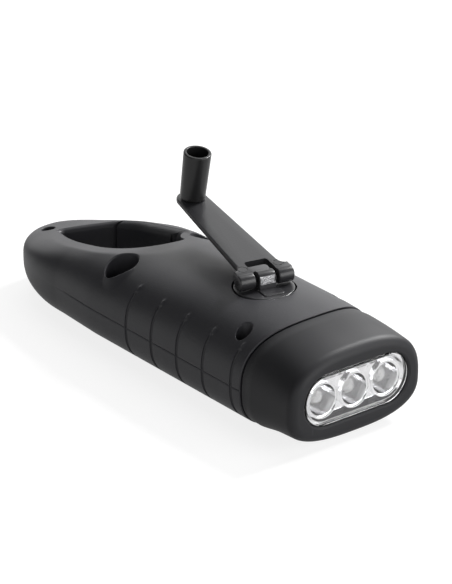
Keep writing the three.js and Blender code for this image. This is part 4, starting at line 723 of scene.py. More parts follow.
@dataclass(frozen=True)
class Ring:
    """The opening at the tail and the gate that closes it."""

    form: BodyForm
    half: float = 12.8
    near_start: float = 76.0
    near_pull: tuple = (-13.2, 57.0)
    front: tuple = (5.0, 52.5)
    far_pull: tuple = (10.5, 51.1)
    far_start: float = 60.0
    tip: tuple = (-8.0, 103.2)
    tip_radius: float = 2.2
    straight_end: float = 80.0
    corner_x: float = 9.0
    pivot: tuple = (19.8, 66.2)
    root: float = 6.5
    gap: float = 0.35
    root_gap: float = 0.18
    corner_y: float = 93.6
    gate_tip: float = 92.5
    mouth: float = 0.6
    gate_mouth: float = 2.7
    hook_mouth: float = 1.5
    under_share: float = 0.75
    tip_slant: float = 0.22
    tip_gap: float = 1.0
    lip: float = 3.3
    lift: float = 0.4
    slot: tuple = (9.7, 20.3)
    lug: tuple = (12.4, 20.0)
    lug_radius: float = 4.4
    bar_half: float = 2.6
    bar_reach: float = 7.6
    swing: float = 25.0
    pin: float = 1.6
    pin_ends: tuple = (4.0, 25.0)

    def outline(self) -> np.ndarray:
        """Plan of the opening: round front, straight sides, slanting end.

        Returns:
            Array (n, 2), counterclockwise.
        """
        near, far = (-self.half, self.near_start), (self.half, self.far_start)
        tip_x, tip_y = self.tip[0] + self.tip_radius, self.tip[1] - self.tip_radius
        slant = math.atan2(self.tip[1] - self.corner_y, self.corner_x - self.tip[0])
        shift = np.array([math.sin(slant), math.cos(slant)]) * self.tip_radius
        end = np.array([tip_x, tip_y]) + shift
        corner = np.array([self.corner_x, self.corner_y])
        side = np.array([self.half, self.straight_end])
        line = np.linspace(0, 1, 18)[1:, None]
        ease = corner + (end - corner) * 0.06
        return np.concatenate(
            [
                [near],
                curve(near, self.near_pull, self.front, 40),
                [self.front],
                curve(self.front, self.far_pull, far, 22),
                [far],
                np.array(far) + (side - far) * line,
                curve(tuple(side), (self.half, (self.straight_end + self.corner_y) / 2), tuple(corner), 16),
                corner[None, :] * 0.5 + ease * 0.5,
                ease + (end - ease) * line,
                arc(tip_x, tip_y, self.tip_radius, math.pi / 2 - slant, math.pi, 18)[1:],
                curve(
                    (tip_x - self.tip_radius, tip_y),
                    (-self.half, (self.straight_end + tip_y) / 2),
                    (-self.half, self.straight_end),
                    20,
                ),
                np.array([-self.half, self.straight_end])
                + np.array([0, self.near_start - self.straight_end]) * np.linspace(0, 1, 6)[:-1, None],
            ]
        )

    def cutter(self) -> Solid:
        """The opening as a cutter whose mouth is rounded top and bottom.

        Rows of the outline go up the wall and out along a quarter circle of radius r that is
        tangent to the body's own skin: at angle t the row lies r - r cos t outside the wall and
        r - r sin t below the skin. r is `mouth` along the near side, more on the gate and on the
        slanting end of the hook, and only `under_share` of that at the underside.

        Returns:
            The cutter.
        """
        plan = self.outline()
        x, y = plan.T
        on_hook = smooth(88.0, 93.0, y) * smooth(-9.5, -6.5, x)
        by_gate = np.where(y < self.pivot[1], smooth(8.5, 12.3, x), smooth(4.0, 9.0, x))
        ease = self.mouth + self.gate_mouth * by_gate * (1 - on_hook) + self.hook_mouth * on_hook
        rings = []
        under = self.under_share * ease
        for out, drop in quarter(78, 0, 8):
            row = grown(plan, under * out)
            rings.append(at_height(row, self.form.belly_height(*row.T) + under * drop))
        rings.insert(0, at_height(rings[0][:, :2], -BEYOND))
        for out, drop in quarter(0, 78, 8):
            row = grown(plan, ease * out)
            rings.append(at_height(row, self.form.deck_height(*row.T) - ease * drop))
        rings.append(at_height(row, self.form.height + BEYOND))
        return Solid.rings(np.stack(rings), Ends.FACE)

    def side(self, back: float, ahead: float, low: float, high: float) -> Solid:
        """The far side from y = back to the slanting tip.

        Args:
            back: where it starts.
            ahead: how far the tip is moved on.
            low: height of its bottom.
            high: height of its top.

        Returns:
            The prism.
        """
        far = self.form.half_width + BEYOND
        tip = [self.gate_tip + ahead - self.tip_slant * (x - self.corner_x) for x in (far, 0)]
        return prism(np.array([[0, back], [far, back], [far, tip[0]], [0, tip[1]]]), low, high)

    def room(self, grow: float) -> Solid:
        """The far side of the ring that the gate takes the place of.

        Args:
            grow: room round it.

        Returns:
            The region.
        """
        low, high = -BEYOND, self.form.height + BEYOND
        side = self.side(self.pivot[1] - self.lip - grow, self.tip_gap + grow, low, high)
        kept = prism(grown(self.outline(), 0.0 if grow > 0 else -self.gap), low, high)
        root = post(self.root + self.root_gap + grow, low, high, *self.pivot, 96)
        return side.cut(kept).add(root)

    def lug_form(self, grow: float, low: float, high: float, turns: list) -> Solid:
        """A boss on the gate's pivot with a bar that runs forward from it.

        Args:
            grow: how far it is larger than the lug itself.
            low: height of its bottom.
            high: height of its top.
            turns: angles of the bar, in degrees, one bar for each.

        Returns:
            The form.
        """
        form = post(self.lug_radius + grow, low, high)
        half = self.bar_half + grow
        for turn in turns:
            bar = block(-half, half, -self.bar_reach, 0, low, high)
            form = form.add(bar.moved(Matrix.Rotation(math.radians(-turn), 4, "Z")))
        return form.moved(Matrix.Translation((*self.pivot, 0)))

    def lug_of_shell(self) -> Solid:
        """The shell's lug between the two ears of the gate."""
        return self.lug_form(0, *self.lug, [0]).cut(post(self.pin + 0.08, 0, self.form.height, *self.pivot))

    def gate(self) -> Solid:
        """The far side of the ring between its root and its tip.

        Returns:
            The gate.
        """
        rail = self.side(self.pivot[1], 0.0, self.lift, self.form.height)
        rail = rail.add(post(self.root, self.lift, self.form.height, *self.pivot, 96))
        skin = self.form.whole(0.0, self.form.taper_start - 8, 192, 36)
        slot = self.lug_form(self.gap, *self.slot, list(np.linspace(0, self.swing, 5)))
        bore = post(self.pin + 0.05, *self.pin_ends, *self.pivot)
        return skin.common(rail).cut(self.cutter(), slot, bore)


class Tree:
    """The nodes of a material or of the world."""

    def __init__(self, owner: bpy.types.ID) -> None:
        """Turns the owner's nodes on."""
        owner.use_nodes = True
        self.nodes, self.links = owner.node_tree.nodes, owner.node_tree.links

    def feed(self, node: bpy.types.Node, values: dict) -> None:
        """Sets a node's inputs.

        Args:
            node: the node.
            values: for an input's name or number, its value or the output that feeds it.
        """
        for name, value in values.items():
            if isinstance(value, bpy.types.NodeSocket):
                self.links.new(value, node.inputs[name])
            else:
                node.inputs[name].default_value = value

    def add(self, kind: str, values: dict, **settings: str) -> bpy.types.Node:
        """Adds a node.

        Args:
            kind: its type, without the prefix of shader nodes.
            values: its inputs, as feed takes them.
            settings: its own settings.

        Returns:
            The node.
        """
        node = self.nodes.new("ShaderNode" + kind)
        for name, value in settings.items():
            setattr(node, name, value)
        self.feed(node, values)
        return node

    def noise(self, scale: float, detail: float = 2.0) -> bpy.types.NodeSocket:
        """Noise in object coordinates, `scale` to the metre."""
        place = self.add("TexCoord", {}).outputs["Object"]
        return self.add("TexNoise", {"Vector": place, "Scale": scale, "Detail": detail}).outputs["Fac"]

    def spread(self, value: bpy.types.NodeSocket, low: float, high: float) -> bpy.types.NodeSocket:
        """Maps a value from 0 to 1 to the span from low to high."""
        return self.add("MapRange", {"Value": value, "To Min": low, "To Max": high}).outputs["Result"]

    def mix(self, share: bpy.types.NodeSocket, first: object, second: object) -> bpy.types.NodeSocket:
        """Mixes two colours."""
        colours = {"Factor": share, "A": first, "B": second}
        return self.add("Mix", colours, data_type="RGBA").outputs["Result"]

    def bump(self, height: bpy.types.NodeSocket, distance: float) -> bpy.types.NodeSocket:
        """Tilts the normal by a height, in metres."""
        return self.add("Bump", {"Height": height, "Distance": distance}).outputs["Normal"]


@dataclass(frozen=True)
class Finish:
    """A finish that makes its own node material."""

    name: str
    colour: tuple
    rough: float

    def shade(self, tree: Tree) -> dict:
        """What feeds the shader's inputs, which each kind of finish says for itself."""
        raise NotImplementedError

    def material(self) -> bpy.types.Material:
        """Makes the material.

        Returns:
            The material.
        """
        material = bpy.data.materials.new(self.name)
        tree = Tree(material)
        tree.feed(tree.nodes["Principled BSDF"], self.shade(tree))
        return material


@dataclass(frozen=True)
class Plastic(Finish):
    """A moulded plastic finish: fine grain, slow mottling, and paler edges that stand for edge wear and a
    painted edge highlight.
    """

    grain: float = 0.00004
    grain_size: float = 0.00045
    edge_wear_and_highlight: float = 0.25
    specular: float = 0.5
    mottle: float = 60.0
    spread: float = 0.15
    rough_spread: float = 0.07

    def tone(self, share: float, lift: float = 0.0) -> tuple:
        """The colour times a share, lifted, with full alpha."""
        return (*[min(1, share * c + lift) for c in self.colour], 1)

    def shade(self, tree: Tree) -> dict:
        """Noise in object coordinates drives colour, roughness and bump, and edges are painted paler, as
        edge wear and a painted highlight.

        Args:
            tree: the material's nodes.

        Returns:
            The shader's inputs.
        """
        fine, slow = tree.noise(1 / self.grain_size, 4), tree.noise(self.mottle, 6)
        # Pointiness makes convex edges paler: partly edge wear, partly a painted edge highlight.
        edge = tree.add("NewGeometry", {}).outputs["Pointiness"]
        edge_wear_and_highlight_share = {"Value": edge, "From Min": 0.53, "From Max": 0.62, "To Max": self.edge_wear_and_highlight}
        edge_wear_and_highlight_share = tree.add("MapRange", edge_wear_and_highlight_share).outputs["Result"]
        tint = tree.mix(slow, self.tone(1 - self.spread), self.tone(1 + self.spread))
        return {
            "Base Color": tree.mix(edge_wear_and_highlight_share, tint, self.tone(2.2, 0.01)),
            "Roughness": tree.spread(slow, self.rough - self.rough_spread, self.rough + self.rough_spread),
            "Specular IOR Level": self.specular,
            "Normal": tree.bump(fine, self.grain),
        }


@dataclass(frozen=True)
class Metal(Finish):
    """A metal finish with fine scratches in its roughness."""

    spread: float = 0.1
    scale: float = 700.0
    relief: float = 0.00002

    def shade(self, tree: Tree) -> dict:
        """Noise in object coordinates drives roughness and bump.

        Args:
            tree: the material's nodes.

        Returns:
            The shader's inputs.
        """
        noise = tree.noise(self.scale, 5)
        return {
            "Base Color": (*self.colour, 1),
            "Metallic": 1,
            "Roughness": tree.spread(noise, self.rough, self.rough + self.spread),
            "Normal": tree.bump(noise, self.relief),
        }


@dataclass(frozen=True)
class Clear(Finish):
    """A resin or glass finish that lets the share `clear` of the light through."""

    index: float = 1.49
    scale: float = 400.0
    relief: float = 0.00003
    clear: float = 1.0

    def shade(self, tree: Tree) -> dict:
        """Transmission by the share `clear`, with faint ripples in the surface.

        Args:
            tree: the material's nodes.

        Returns:
            The shader's inputs.
        """
        return {
            "Base Color": (*self.colour, 1),
            "Transmission Weight": self.clear,
            "IOR": self.index,
            "Roughness": self.rough,
            "Normal": tree.bump(tree.noise(self.scale), self.relief),
        }


class Finishes:
    """Every finish of the flashlight, made once and shared."""

    def __init__(self) -> None:
        """Makes the materials."""
        self.shell = Plastic("shell_plastic", (0.027, 0.027, 0.031), 0.44, specular=0.4).material()
        cap_colour = (0.015, 0.015, 0.0172)
        self.cap = Plastic("cap_soft_plastic", cap_colour, 0.5, 0.00002, 0.0003, specular=0.3).material()
        self.crank = Plastic("crank_plastic", (0.02, 0.02, 0.022), 0.3, 0.00002, 0.0006).material()
        # The post is lighter grey than the black knob so that it shows glints deep in the bore: a painted
        # highlight.
        self.stem = Plastic("stem_plastic_painted_highlight", (0.1, 0.1, 0.105), 0.3, 0.00001, 0.0006).material()
        knob_colour = (0.011, 0.011, 0.0115)
        self.knob = Plastic("knob_plastic", knob_colour, 0.3, 0.00001, 0.0006, 0.1, 0.4).material()
        # The knuckle's facet is black plastic; this pale metal finish paints its highlight.
        self.facet = Metal("facet_texture_painted_highlight", (0.42, 0.42, 0.43), 0.25, 0.3, 1500.0, 0.0008).material()
        self.button = Plastic("button_rubber", (0.045, 0.045, 0.05), 0.7).material()
        self.gear = Plastic("gear_nylon", (0.78, 0.77, 0.72), 0.42, 0.00001, 0.001, 0.0).material()
        self.board = Plastic("board_mask", (0.02, 0.16, 0.06), 0.3, 0.00001, 0.001, 0.0).material()
        self.white_board = Plastic("led_board_mask", (0.8, 0.8, 0.8), 0.35, 0.00001, 0.001, 0.0).material()
        self.cell = Plastic("solar_resin", (0.01, 0.014, 0.045), 0.12, 0.000005, 0.001, 0.0).material()
        self.wrap = Plastic("battery_wrap", (0.04, 0.2, 0.4), 0.3, 0.00001, 0.001, 0.0).material()
        self.chrome = Metal("reflector_chrome", (0.94, 0.94, 0.95), 0.05, 0.1, 420.0, 0.00012).material()
        self.steel = Metal("screw_steel", (0.5, 0.5, 0.52), 0.28).material()
        self.black_steel = Metal("pin_steel", (0.035, 0.035, 0.037), 0.35).material()
        # Dark finish for the reflector's strip under the bowls: painted shade on the chrome.
        self.painted_shade = Plastic("reflector_painted_shade", (0.05, 0.05, 0.055), 0.25, 0.000005, 0.001, 0.0).material()
        self.copper = Metal("winding_copper", (0.75, 0.35, 0.16), 0.3).material()
        self.lens = Clear("lens_clear", (1.0, 1.0, 1.0), 0.0).material()
        self.resin = Clear("led_resin", (1.0, 1.0, 1.0), 0.1, 1.5, 1500.0, 0.0006, 0.15).material()


def dress(piece: bpy.types.Object, material: bpy.types.Material, body: str, slot: str, *nodes: str) -> None:
    """Gives a piece its material and body, and hides the frame's nodes that it stands for.

    Args:
        piece: the new piece.
        material: its finish.
        body: the body that it rides on.
        slot: the record's material slot; not used.
        nodes: the frame's nodes that it replaces.
    """
    piece.data.materials.append(material)
    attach(piece, body)
    if nodes:
        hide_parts(*nodes)
    LOG.info("%s: %d faces", piece.name, len(piece.data.polygons))


def faces_of(piece: bpy.types.Object) -> tuple:
    """Middles of a piece's faces, in millimetres, and their normals.

    Args:
        piece: the object.

    Returns:
        Two arrays (n, 3).
    """
    polygons = piece.data.polygons
    middles, normals = np.zeros((2, 3 * len(polygons)))
    polygons.foreach_get("center", middles)
    polygons.foreach_get("normal", normals)
    return middles.reshape(-1, 3) / MILLIMETRE, normals.reshape(-1, 3)


def paint(piece: bpy.types.Object, material: bpy.types.Material, chosen: np.ndarray) -> None:
    """Gives the chosen faces of a piece a second finish."""
    piece.data.materials.append(material)
    piece.data.polygons.foreach_set("material_index", chosen.astype(np.int32))


@dataclass
class Housing:
    """The two halves of the body, with the ring and the gate."""

    form: BodyForm
    ring: Ring
    finishes: Finishes
    wall: float = 2.0
    cap_wall: float = 2.2
    cap_clearance: float = 0.2
    cap_front: float = 1.6
    neck_front: float = -40.0
    hub_radius: float = 10.6
    hub_floor: float = 33.6
    # Front left and right, rear left and right, tail.
    wells: tuple = (
        Well(-19.8, -14.3, 2.7, 20.0, 0.35),
        Well(19.8, -14.3, 2.7, 20.0, 0.35),
        Well(-17.9, 52.6, 5.65, 18.0, 0.6),
        Well(17.9, 52.6, 5.65, 18.0, 0.6),
        Well(-6.5, 110.6, 2.4, 15.6, 0.4),
    )
    plate_posts: tuple = ((-21.0, -3.8), (21.0, -3.8), (5.0, 31.0))
    circuit_posts: tuple = ((-11.0, -26.5), (-11.0, -9.2), (11.0, -26.5), (11.0, -9.2))
    column: float = 1.6
    screw_bore: float = 1.3
    hub_bore: float = 3.08
    hub_steps: tuple = ((12.6, 31.4), (6.0, 30.4))
    well_post: float = 3.6
    circuit_post: tuple = (1.6, 8.0)
    plate_post: float = 2.2
    plate_post_top: float = 16.5
    plate_bore: tuple = (0.85, 11.7)
    # Radius and height of the wall round the rotor, of the room in it and of the boss.
    rotor_seat: tuple = ((11.4, 5.6), (9.9, 5.7), (2.8, 5.2))
    rotor_bore: tuple = (1.08, 3.3)
    panel_floor: float = 3.2
    panel_depth: float = 1.8
    button: tuple = (0.0, -13.0)
    button_bore: float = 4.68
    panel_gap: float = 0.2
    rotor: tuple = (9.66155, 6.02109)
    first_axle: tuple = (0.0, 20.1)
    panel: tuple = (-13.0, 13.0, 4.0, 41.0)
    lip_height: float = 1.7
    lip_forward: float = 0.55

    def neck(self, inset: float, front: float) -> Solid:
        """The body form inside the cap.

        Args:
            inset: how far it is pulled in.
            front: where it starts.

        Returns:
            The neck, back to y = -15.
        """
        far = self.form.half_width + BEYOND
        ahead = block(-far, far, -self.form.nose - BEYOND, front, -BEYOND, self.form.height)
        behind = block(-far, far, -15, self.form.tail + BEYOND, -BEYOND, self.form.height + BEYOND)
        return self.form.whole(inset, -self.form.nose + self.cap_front, 96, 24).cut(ahead, behind)

    def hollow(self) -> Solid:
        """The hollow of both halves before their fittings are left in.

        Returns:
            The hollow.
        """
        rear = self.form.whole(self.wall, -self.form.nose + self.wall, 64, 20)
        rear = rear.cut(self.form.head_region(-self.wall))
        neck = self.neck(self.cap_wall + self.cap_clearance + self.wall, -self.form.nose)
        opening = prism(grown(self.ring.outline(), self.wall), -BEYOND, self.form.height + BEYOND)
        return rear.add(neck).cut(opening, self.ring.room(self.wall))

    def well_cutter(self, well: Well) -> Solid:
        """A well whose mouth is eased where it leaves the sloping deck.

        The rings follow the deck: each point of the mouth lies at the deck's own height there,
        less the quarter circle's drop.

        Args:
            well: the well.

        Returns:
            The cutter.
        """
        ring, middle = circle(72), np.array([well.x, well.y])
        rings = [at_height(middle + ring * well.radius, well.seat)]
        for out, drop in quarter(0, 75, 6):
            plan = middle + ring * (well.radius + well.ease * out)
            z = self.form.deck_height(*plan.T) - well.ease * drop
            rings.append(at_height(plan, np.maximum(z, well.seat + 0.5)))
        rings.append(at_height(plan, self.form.height + BEYOND))
        return Solid.rings(np.stack(rings), Ends.FACE)

    def collar(self, well: Well) -> Solid:
        """The raised lip on the downhill side of a rear well.

        It is a ring whose crest follows the deck and stands proud of it by
        lip * max(0, cos(a - a0))^2, where a0 is the downhill direction. Each row of its profile
        takes a share of that height, so the outside runs down into the deck as an apron.

        Args:
            well: the well.

        Returns:
            The lip.
        """
        ring, middle = circle(96), np.array([well.x, well.y])
        downhill = np.array([math.copysign(1.0, well.x), -self.lip_forward])
        lift = self.lip_height * np.clip(ring @ downhill / np.linalg.norm(downhill), 0, 1) ** 2
        profile = (
            (0.0, 0.0, -1.5), (3.2, 0.0, -1.5), (3.2, 0.0, -0.45), (2.0, 0.25, -0.4),
            (1.2, 0.5, -0.38), (0.6, 0.84, -0.36), (0.42, 0.97, -0.34), (0.25, 1.0, -0.33),
            (0.1, 0.97, -0.36), (0.0, 0.85, -0.42),
        )
        rings = []
        for out, share, drop in profile:
            plan = middle + ring * (well.radius + out)
            rings.append(at_height(plan, self.form.deck_height(*plan.T) + lift * share + drop))
        return Solid.rings(np.stack(rings), Ends.LOOP)

    def half_shell(self, upper: bool, hollow: Solid) -> tuple:
        """One half with its neck, hollow and opening.

        Args:
            upper: the crank side, or else the underside.
            hollow: what both halves are hollowed by.

        Returns:
            The shell, and the block that holds its side of the parting.
        """
        form = self.form
        far = form.half_width + BEYOND
        low, high = (form.parting, form.height + BEYOND) if upper else (-BEYOND, form.parting)
        side = block(-far, far, -form.nose, form.tail + BEYOND, low, high)
        neck = self.neck(self.cap_wall + self.cap_clearance, self.neck_front)
        shell = form.half(upper).add(neck.common(side))
        return shell.cut(hollow.common(side), self.ring.cutter(), self.ring.room(0)), side

    def build_upper(self) -> None:
        """Builds the crank side half: hollow, columns, wells, hub recess, opening and lug."""
        high = self.form.height + BEYOND
        fill = [post(w.radius + self.column, self.form.parting, high, w.x, w.y) for w in self.wells]
        fill += [post(radius, low, high) for radius, low in self.hub_steps]
        fill.append(post(3.2, 31.0, high, *self.first_axle))
        shell, side = self.half_shell(True, self.hollow().cut(*fill))
        for well in self.wells:
            bore = post(self.screw_bore, 0, well.seat + 3, well.x, well.y, 24)
            shell = shell.cut(self.well_cutter(well), bore)
        recess = flared_post(self.hub_radius, self.hub_floor, self.form.height, high, 0.3, 0, 0)
        axle = post(self.screw_bore, 0, 32.9, *self.first_axle)
        shell = shell.cut(recess, post(self.hub_bore, 0, high), axle)
        shell = shell.add(self.ring.lug_of_shell().common(side))
        shell = shell.add(*[self.collar(well) for well in self.wells[2:4]])
        dress(shell.finished("upper_shell_skin"), self.finishes.shell, "housing", "shell", "upper_shell")

    def build_lower(self) -> None:
        """Builds the underside half: posts, panel floor, button hole, opening and lug."""
        mid, top, wall, gap = self.form.parting, self.form.height, self.wall, self.panel_gap
        x0, x1, y0, y1 = self.panel
        radius, height = self.circuit_post
        fill = [post(self.well_post, 0, mid + 1, well.x, well.y) for well in self.wells]
        fill += [post(self.plate_post, 0, mid + 1, *place) for place in self.plate_posts]
        fill += [post(radius, 0, height, *place) for place in self.circuit_posts]
        fill.append(block(x0 - wall, x1 + wall, y0 - wall, y1 + wall, 0, self.panel_floor))
        rim, room, boss = [post(radius, 0, height, *self.rotor) for radius, height in self.rotor_seat]
        shell, side = self.half_shell(False, self.hollow().cut(*fill, rim.cut(room), boss))
        radius, low = self.plate_bore
        for place in self.plate_posts:
            shell = shell.add(post(self.plate_post, mid - 2, self.plate_post_top, *place))
            shell = shell.cut(post(radius, low, top, *place, 24))
        shell = shell.cut(*[post(self.screw_bore, 5.7, top, w.x, w.y, 24) for w in self.wells])
        plan = rounded(x0 - gap, x1 + gap, y0 - gap, y1 + gap, 1.5)
        radius, low = self.rotor_bore
        window, bore = prism(plan, -BEYOND, self.panel_depth), post(radius, low, top, *self.rotor)
        button = post(self.button_bore, -BEYOND, mid, *self.button)
        shell = shell.cut(window, bore, button)
        shell = shell.add(self.ring.lug_of_shell().common(side))
        dress(shell.finished("lower_shell_skin"), self.finishes.shell, "housing", "shell", "lower_shell")

    def build_gate(self) -> None:
        """Builds the gate."""
        dress(self.ring.gate().finished("gate_skin"), self.finishes.shell, "gate_arm", "shell", "gate")

    def build(self) -> None:
        """Builds the halves and the gate, in order."""
        self.build_upper()
        self.build_lower()
        self.build_gate()


@dataclass
class Head:
    """The cap, the lens, the reflector and the lamps."""

    form: BodyForm
    finishes: Finishes
    seam_gap: float = 0.5
    cap_wall: float = 2.2
    cap_front: float = 1.6
    window_width: float = 42.6
    window_height: float = 17.6
    window_z: float = 16.6
    lens_front: float = -46.3
    lens_thick: float = 1.1
    reflector_front: float = -45.1
    reflector_back: float = -36.6
    flange_front: float = -44.0
    flange_back: float = -40.1
    led_z: float = 16.2
    led_pitch: float = 12.8
    bowl: float = 5.6
    bowl_depth: float = 7.0
    ledge: float = 0.5
    ledge_depth: float = 0.8
    lamp_radius: float = 2.5
    lamp_length: float = 6.6
    board_front: float = -36.5
    rows_of_cap: int = 40
    # Height of the strip under the bowls that is painted dark as shade.
    painted_shade_height: float = 3.6
    lamps: tuple = ((-1, "left"), (0, "middle"), (1, "right"))

    def stadium(self, grow: float, count: int = 40) -> np.ndarray:
        """The window's outline, a bar with round ends.

        Args:
            grow: how far it is grown on every side.
            count: points on each round end.

        Returns:
            Array (n, 2) of x and z.
        """
        radius = self.window_height / 2 + grow
        reach = (self.window_width - self.window_height) / 2
        right = arc(reach, self.window_z, radius, -math.pi / 2, math.pi / 2, count)
        left = arc(-reach, self.window_z, radius, math.pi / 2, 1.5 * math.pi, count)
        line = np.linspace(0, 1, 20)[1:-1, None]
        over = right[-1] + (left[0] - right[-1]) * line
        under = left[-1] + (right[0] - left[-1]) * line
        return np.concatenate([right, over, left, under])

    def carried(self, rows: list) -> Solid:
        """Carries the window's outline along Y.

        Args:
            rows: (y, grow) pairs.

        Returns:
            The solid.
        """
        rings = []
        for y, grow in rows:
            plan = self.stadium(grow)
            rings.append(np.column_stack([plan[:, 0], np.full(len(plan), y), plan[:, 1]]))
        return Solid.rings(np.stack(rings), Ends.FACE)

    def build_cap(self) -> None:
        """Builds the cap: rounded front, walls back to the seam, and the window with a soft edge.

        Rows run from the flat front round a quarter circle and back to the seam, leaning into
        the seam's arc as they go. The cap draws in a little towards the seam, and its last rows
        pull in to ease its edge.
        """
        form = self.form
        ease = 2.9
        front, shrink = ease * quarter(0, 90, 14).T
        front = front - form.nose
        end = form.seam_y - self.seam_gap
        back = np.linspace(front[-1], end - 1.0, self.rows_of_cap)[1:]
        edge = end - np.array([0.5, 0.25, 0.1, 0.0])
        run = np.concatenate([front, back, edge])
        step = 0.3 * smooth(end - 5.0, end - 1.0, back)
        inset = np.concatenate([shrink, step, [0.3, 0.36, 0.5, 0.75]])
        lean = smooth(front[-1], end - 3.0, run)
        around = np.arange(256) / 256 * 2 * np.pi
        points = form.surface(around, run[:, None], inset[:, None], lean[:, None])
        skin = Solid.rings(points, Ends.STRIPS)
        inside = form.whole(self.cap_wall, -form.nose + self.cap_front, 128, 30)
        soft = 1.15
        lip = [(soft * drop - form.nose, soft * out) for out, drop in quarter(78, 0, 7)]
        window = self.carried([(-form.nose - BEYOND, soft), *lip, (-20.0, 0.0)])
        cap = skin.cut(inside, window)
        dress(cap.finished("head_cap_skin"), self.finishes.cap, "housing", "cap", "head_cap")

    def build_lens(self) -> None:
        """Builds the clear window: a plate with an eased front edge and a flange behind the cap."""
        fit, front, thick = -0.15, self.lens_front, self.lens_thick
        flange = (-45.1, -44.1)
        outer = self.carried(
            [(front, fit - 0.35), (front + 0.1, fit - 0.1), (front + 0.35, fit), (flange[0], fit),
             (flange[0] + 0.01, 1.3), (flange[1], 1.3)]
        )
        hollow = self.carried([(front + thick, fit - thick), (flange[1] + 1, fit - thick)])
        dress(outer.cut(hollow).finished("lens_window"), self.finishes.lens, "housing", "lens", "lens")

    def laid(self, profile: list, index: int, y: float, way: int = 1, steps: int = 96) -> Solid:
        """Turns a profile and lays it along Y at a lamp's place.

        Args:
            profile: (radius, distance from y) pairs.
            index: the lamp, -1, 0 or 1.
            y: where the profile's zero lies.
            way: 1 backwards, -1 towards the front.
            steps: points round each ring.

        Returns:
            The turned solid.
        """
        place = Matrix.Translation((index * self.led_pitch, y, self.led_z))
        return lathe(profile, steps).moved(place @ Matrix.Rotation(-way * math.pi / 2, 4, "X"))

    def bowl_profile(self) -> list:
        """A lamp bowl: radius = base + (mouth - base) * sqrt(1 - depth share), behind a ledge.

        Returns:
            (radius, depth) pairs.
        """
        share = np.linspace(0, 1, 24)
        radius = 3.1 + (self.bowl - self.ledge - 3.1) * np.sqrt(1 - share)
        depth = self.ledge_depth + (self.bowl_depth - self.ledge_depth) * share
        profile = [(self.bowl, -6.0), (self.bowl, self.ledge_depth - 0.1), *zip(radius, depth)]
        return [*profile, (3.0, self.bowl_depth + 0.01), (3.0, 16.0)]

    def build_reflector(self) -> None:
        """Builds the reflector: a dished bar with three bowls whose lips stand proud, and a strip painted
        dark as shade.
        """
        fit = -0.15 - self.lens_thick - 0.1
        front = self.reflector_front
        core = self.carried([(front, fit), (self.reflector_back, fit)])
        dish = self.carried([(front - 3, fit - 0.15), (front, fit - 0.15), (front + 1.7, fit - 2.6),
                             (front + 1.9, fit - 3.4)])
        body = core.cut(dish).add(self.carried([(self.flange_front, 1.6), (self.flange_back, 1.6)]))
        places, cup, room = [index for index, _ in self.lamps], self.bowl + 0.45, self.bowl + 0.3
        body = body.add(*[self.laid([(cup, 0.0), (cup, 5.0)], i, front + 0.2) for i in places])
        body = body.cut(*[self.laid(self.bowl_profile(), i, front) for i in places])
        band = self.window_z - self.window_height / 2 + self.painted_shade_height
        reach = self.window_width
        plate = self.carried([(front + 0.9, fit - 0.1), (front + 2.2, fit - 0.1)])
        plate = plate.common(block(-reach, reach, front, front + 3, 0, band))
        plate = plate.cut(*[self.laid([(room, -1.0), (room, 4.0)], i, front) for i in places])
        piece = body.add(plate).finished("reflector_skin")
        dress(piece, self.finishes.chrome, "housing", "reflector", "reflector")
        self.paint_shade_band(piece, band)

    def paint_shade_band(self, piece: bpy.types.Object, band: float) -> None:
        """Paints the strip under the bowls dark, as painted shade on the chrome.

        Args:
            piece: the reflector.
            band: height of the strip's top, in millimetres.
        """
        x, y, z = faces_of(piece)[0].T
        off = np.abs(x - self.led_pitch * np.round(np.clip(x / self.led_pitch, -1, 1)))
        outside = np.hypot(off, z - self.led_z) > self.bowl + 0.2
        # The strip's faces outside the bowls get the dark finish, a painted shade.
        paint(piece, self.finishes.painted_shade, (z < band) & outside & (y < self.reflector_back))

    def build_lamps(self) -> None:
        """Builds three round lamps: a straight body with a round end over a wider rim."""
        radius, end = self.lamp_radius, self.lamp_length
        dome = [(radius - radius * out, end - radius * drop) for out, drop in quarter(0, 89, 16)]
        dome = [(2.9, 0.0), (2.9, 1.0), (radius, 1.05), *dome]
        for index, name in self.lamps:
            lamp = self.laid(dome, index, self.board_front, -1, 64).finished("lamp_" + name)
            dress(lamp, self.finishes.resin, "housing", "led", "led_" + name)

    def build(self) -> None:
        """Builds the cap, lens, reflector and lamps, in order."""
        self.build_cap()
        self.build_lens()
        self.build_reflector()
        self.build_lamps()


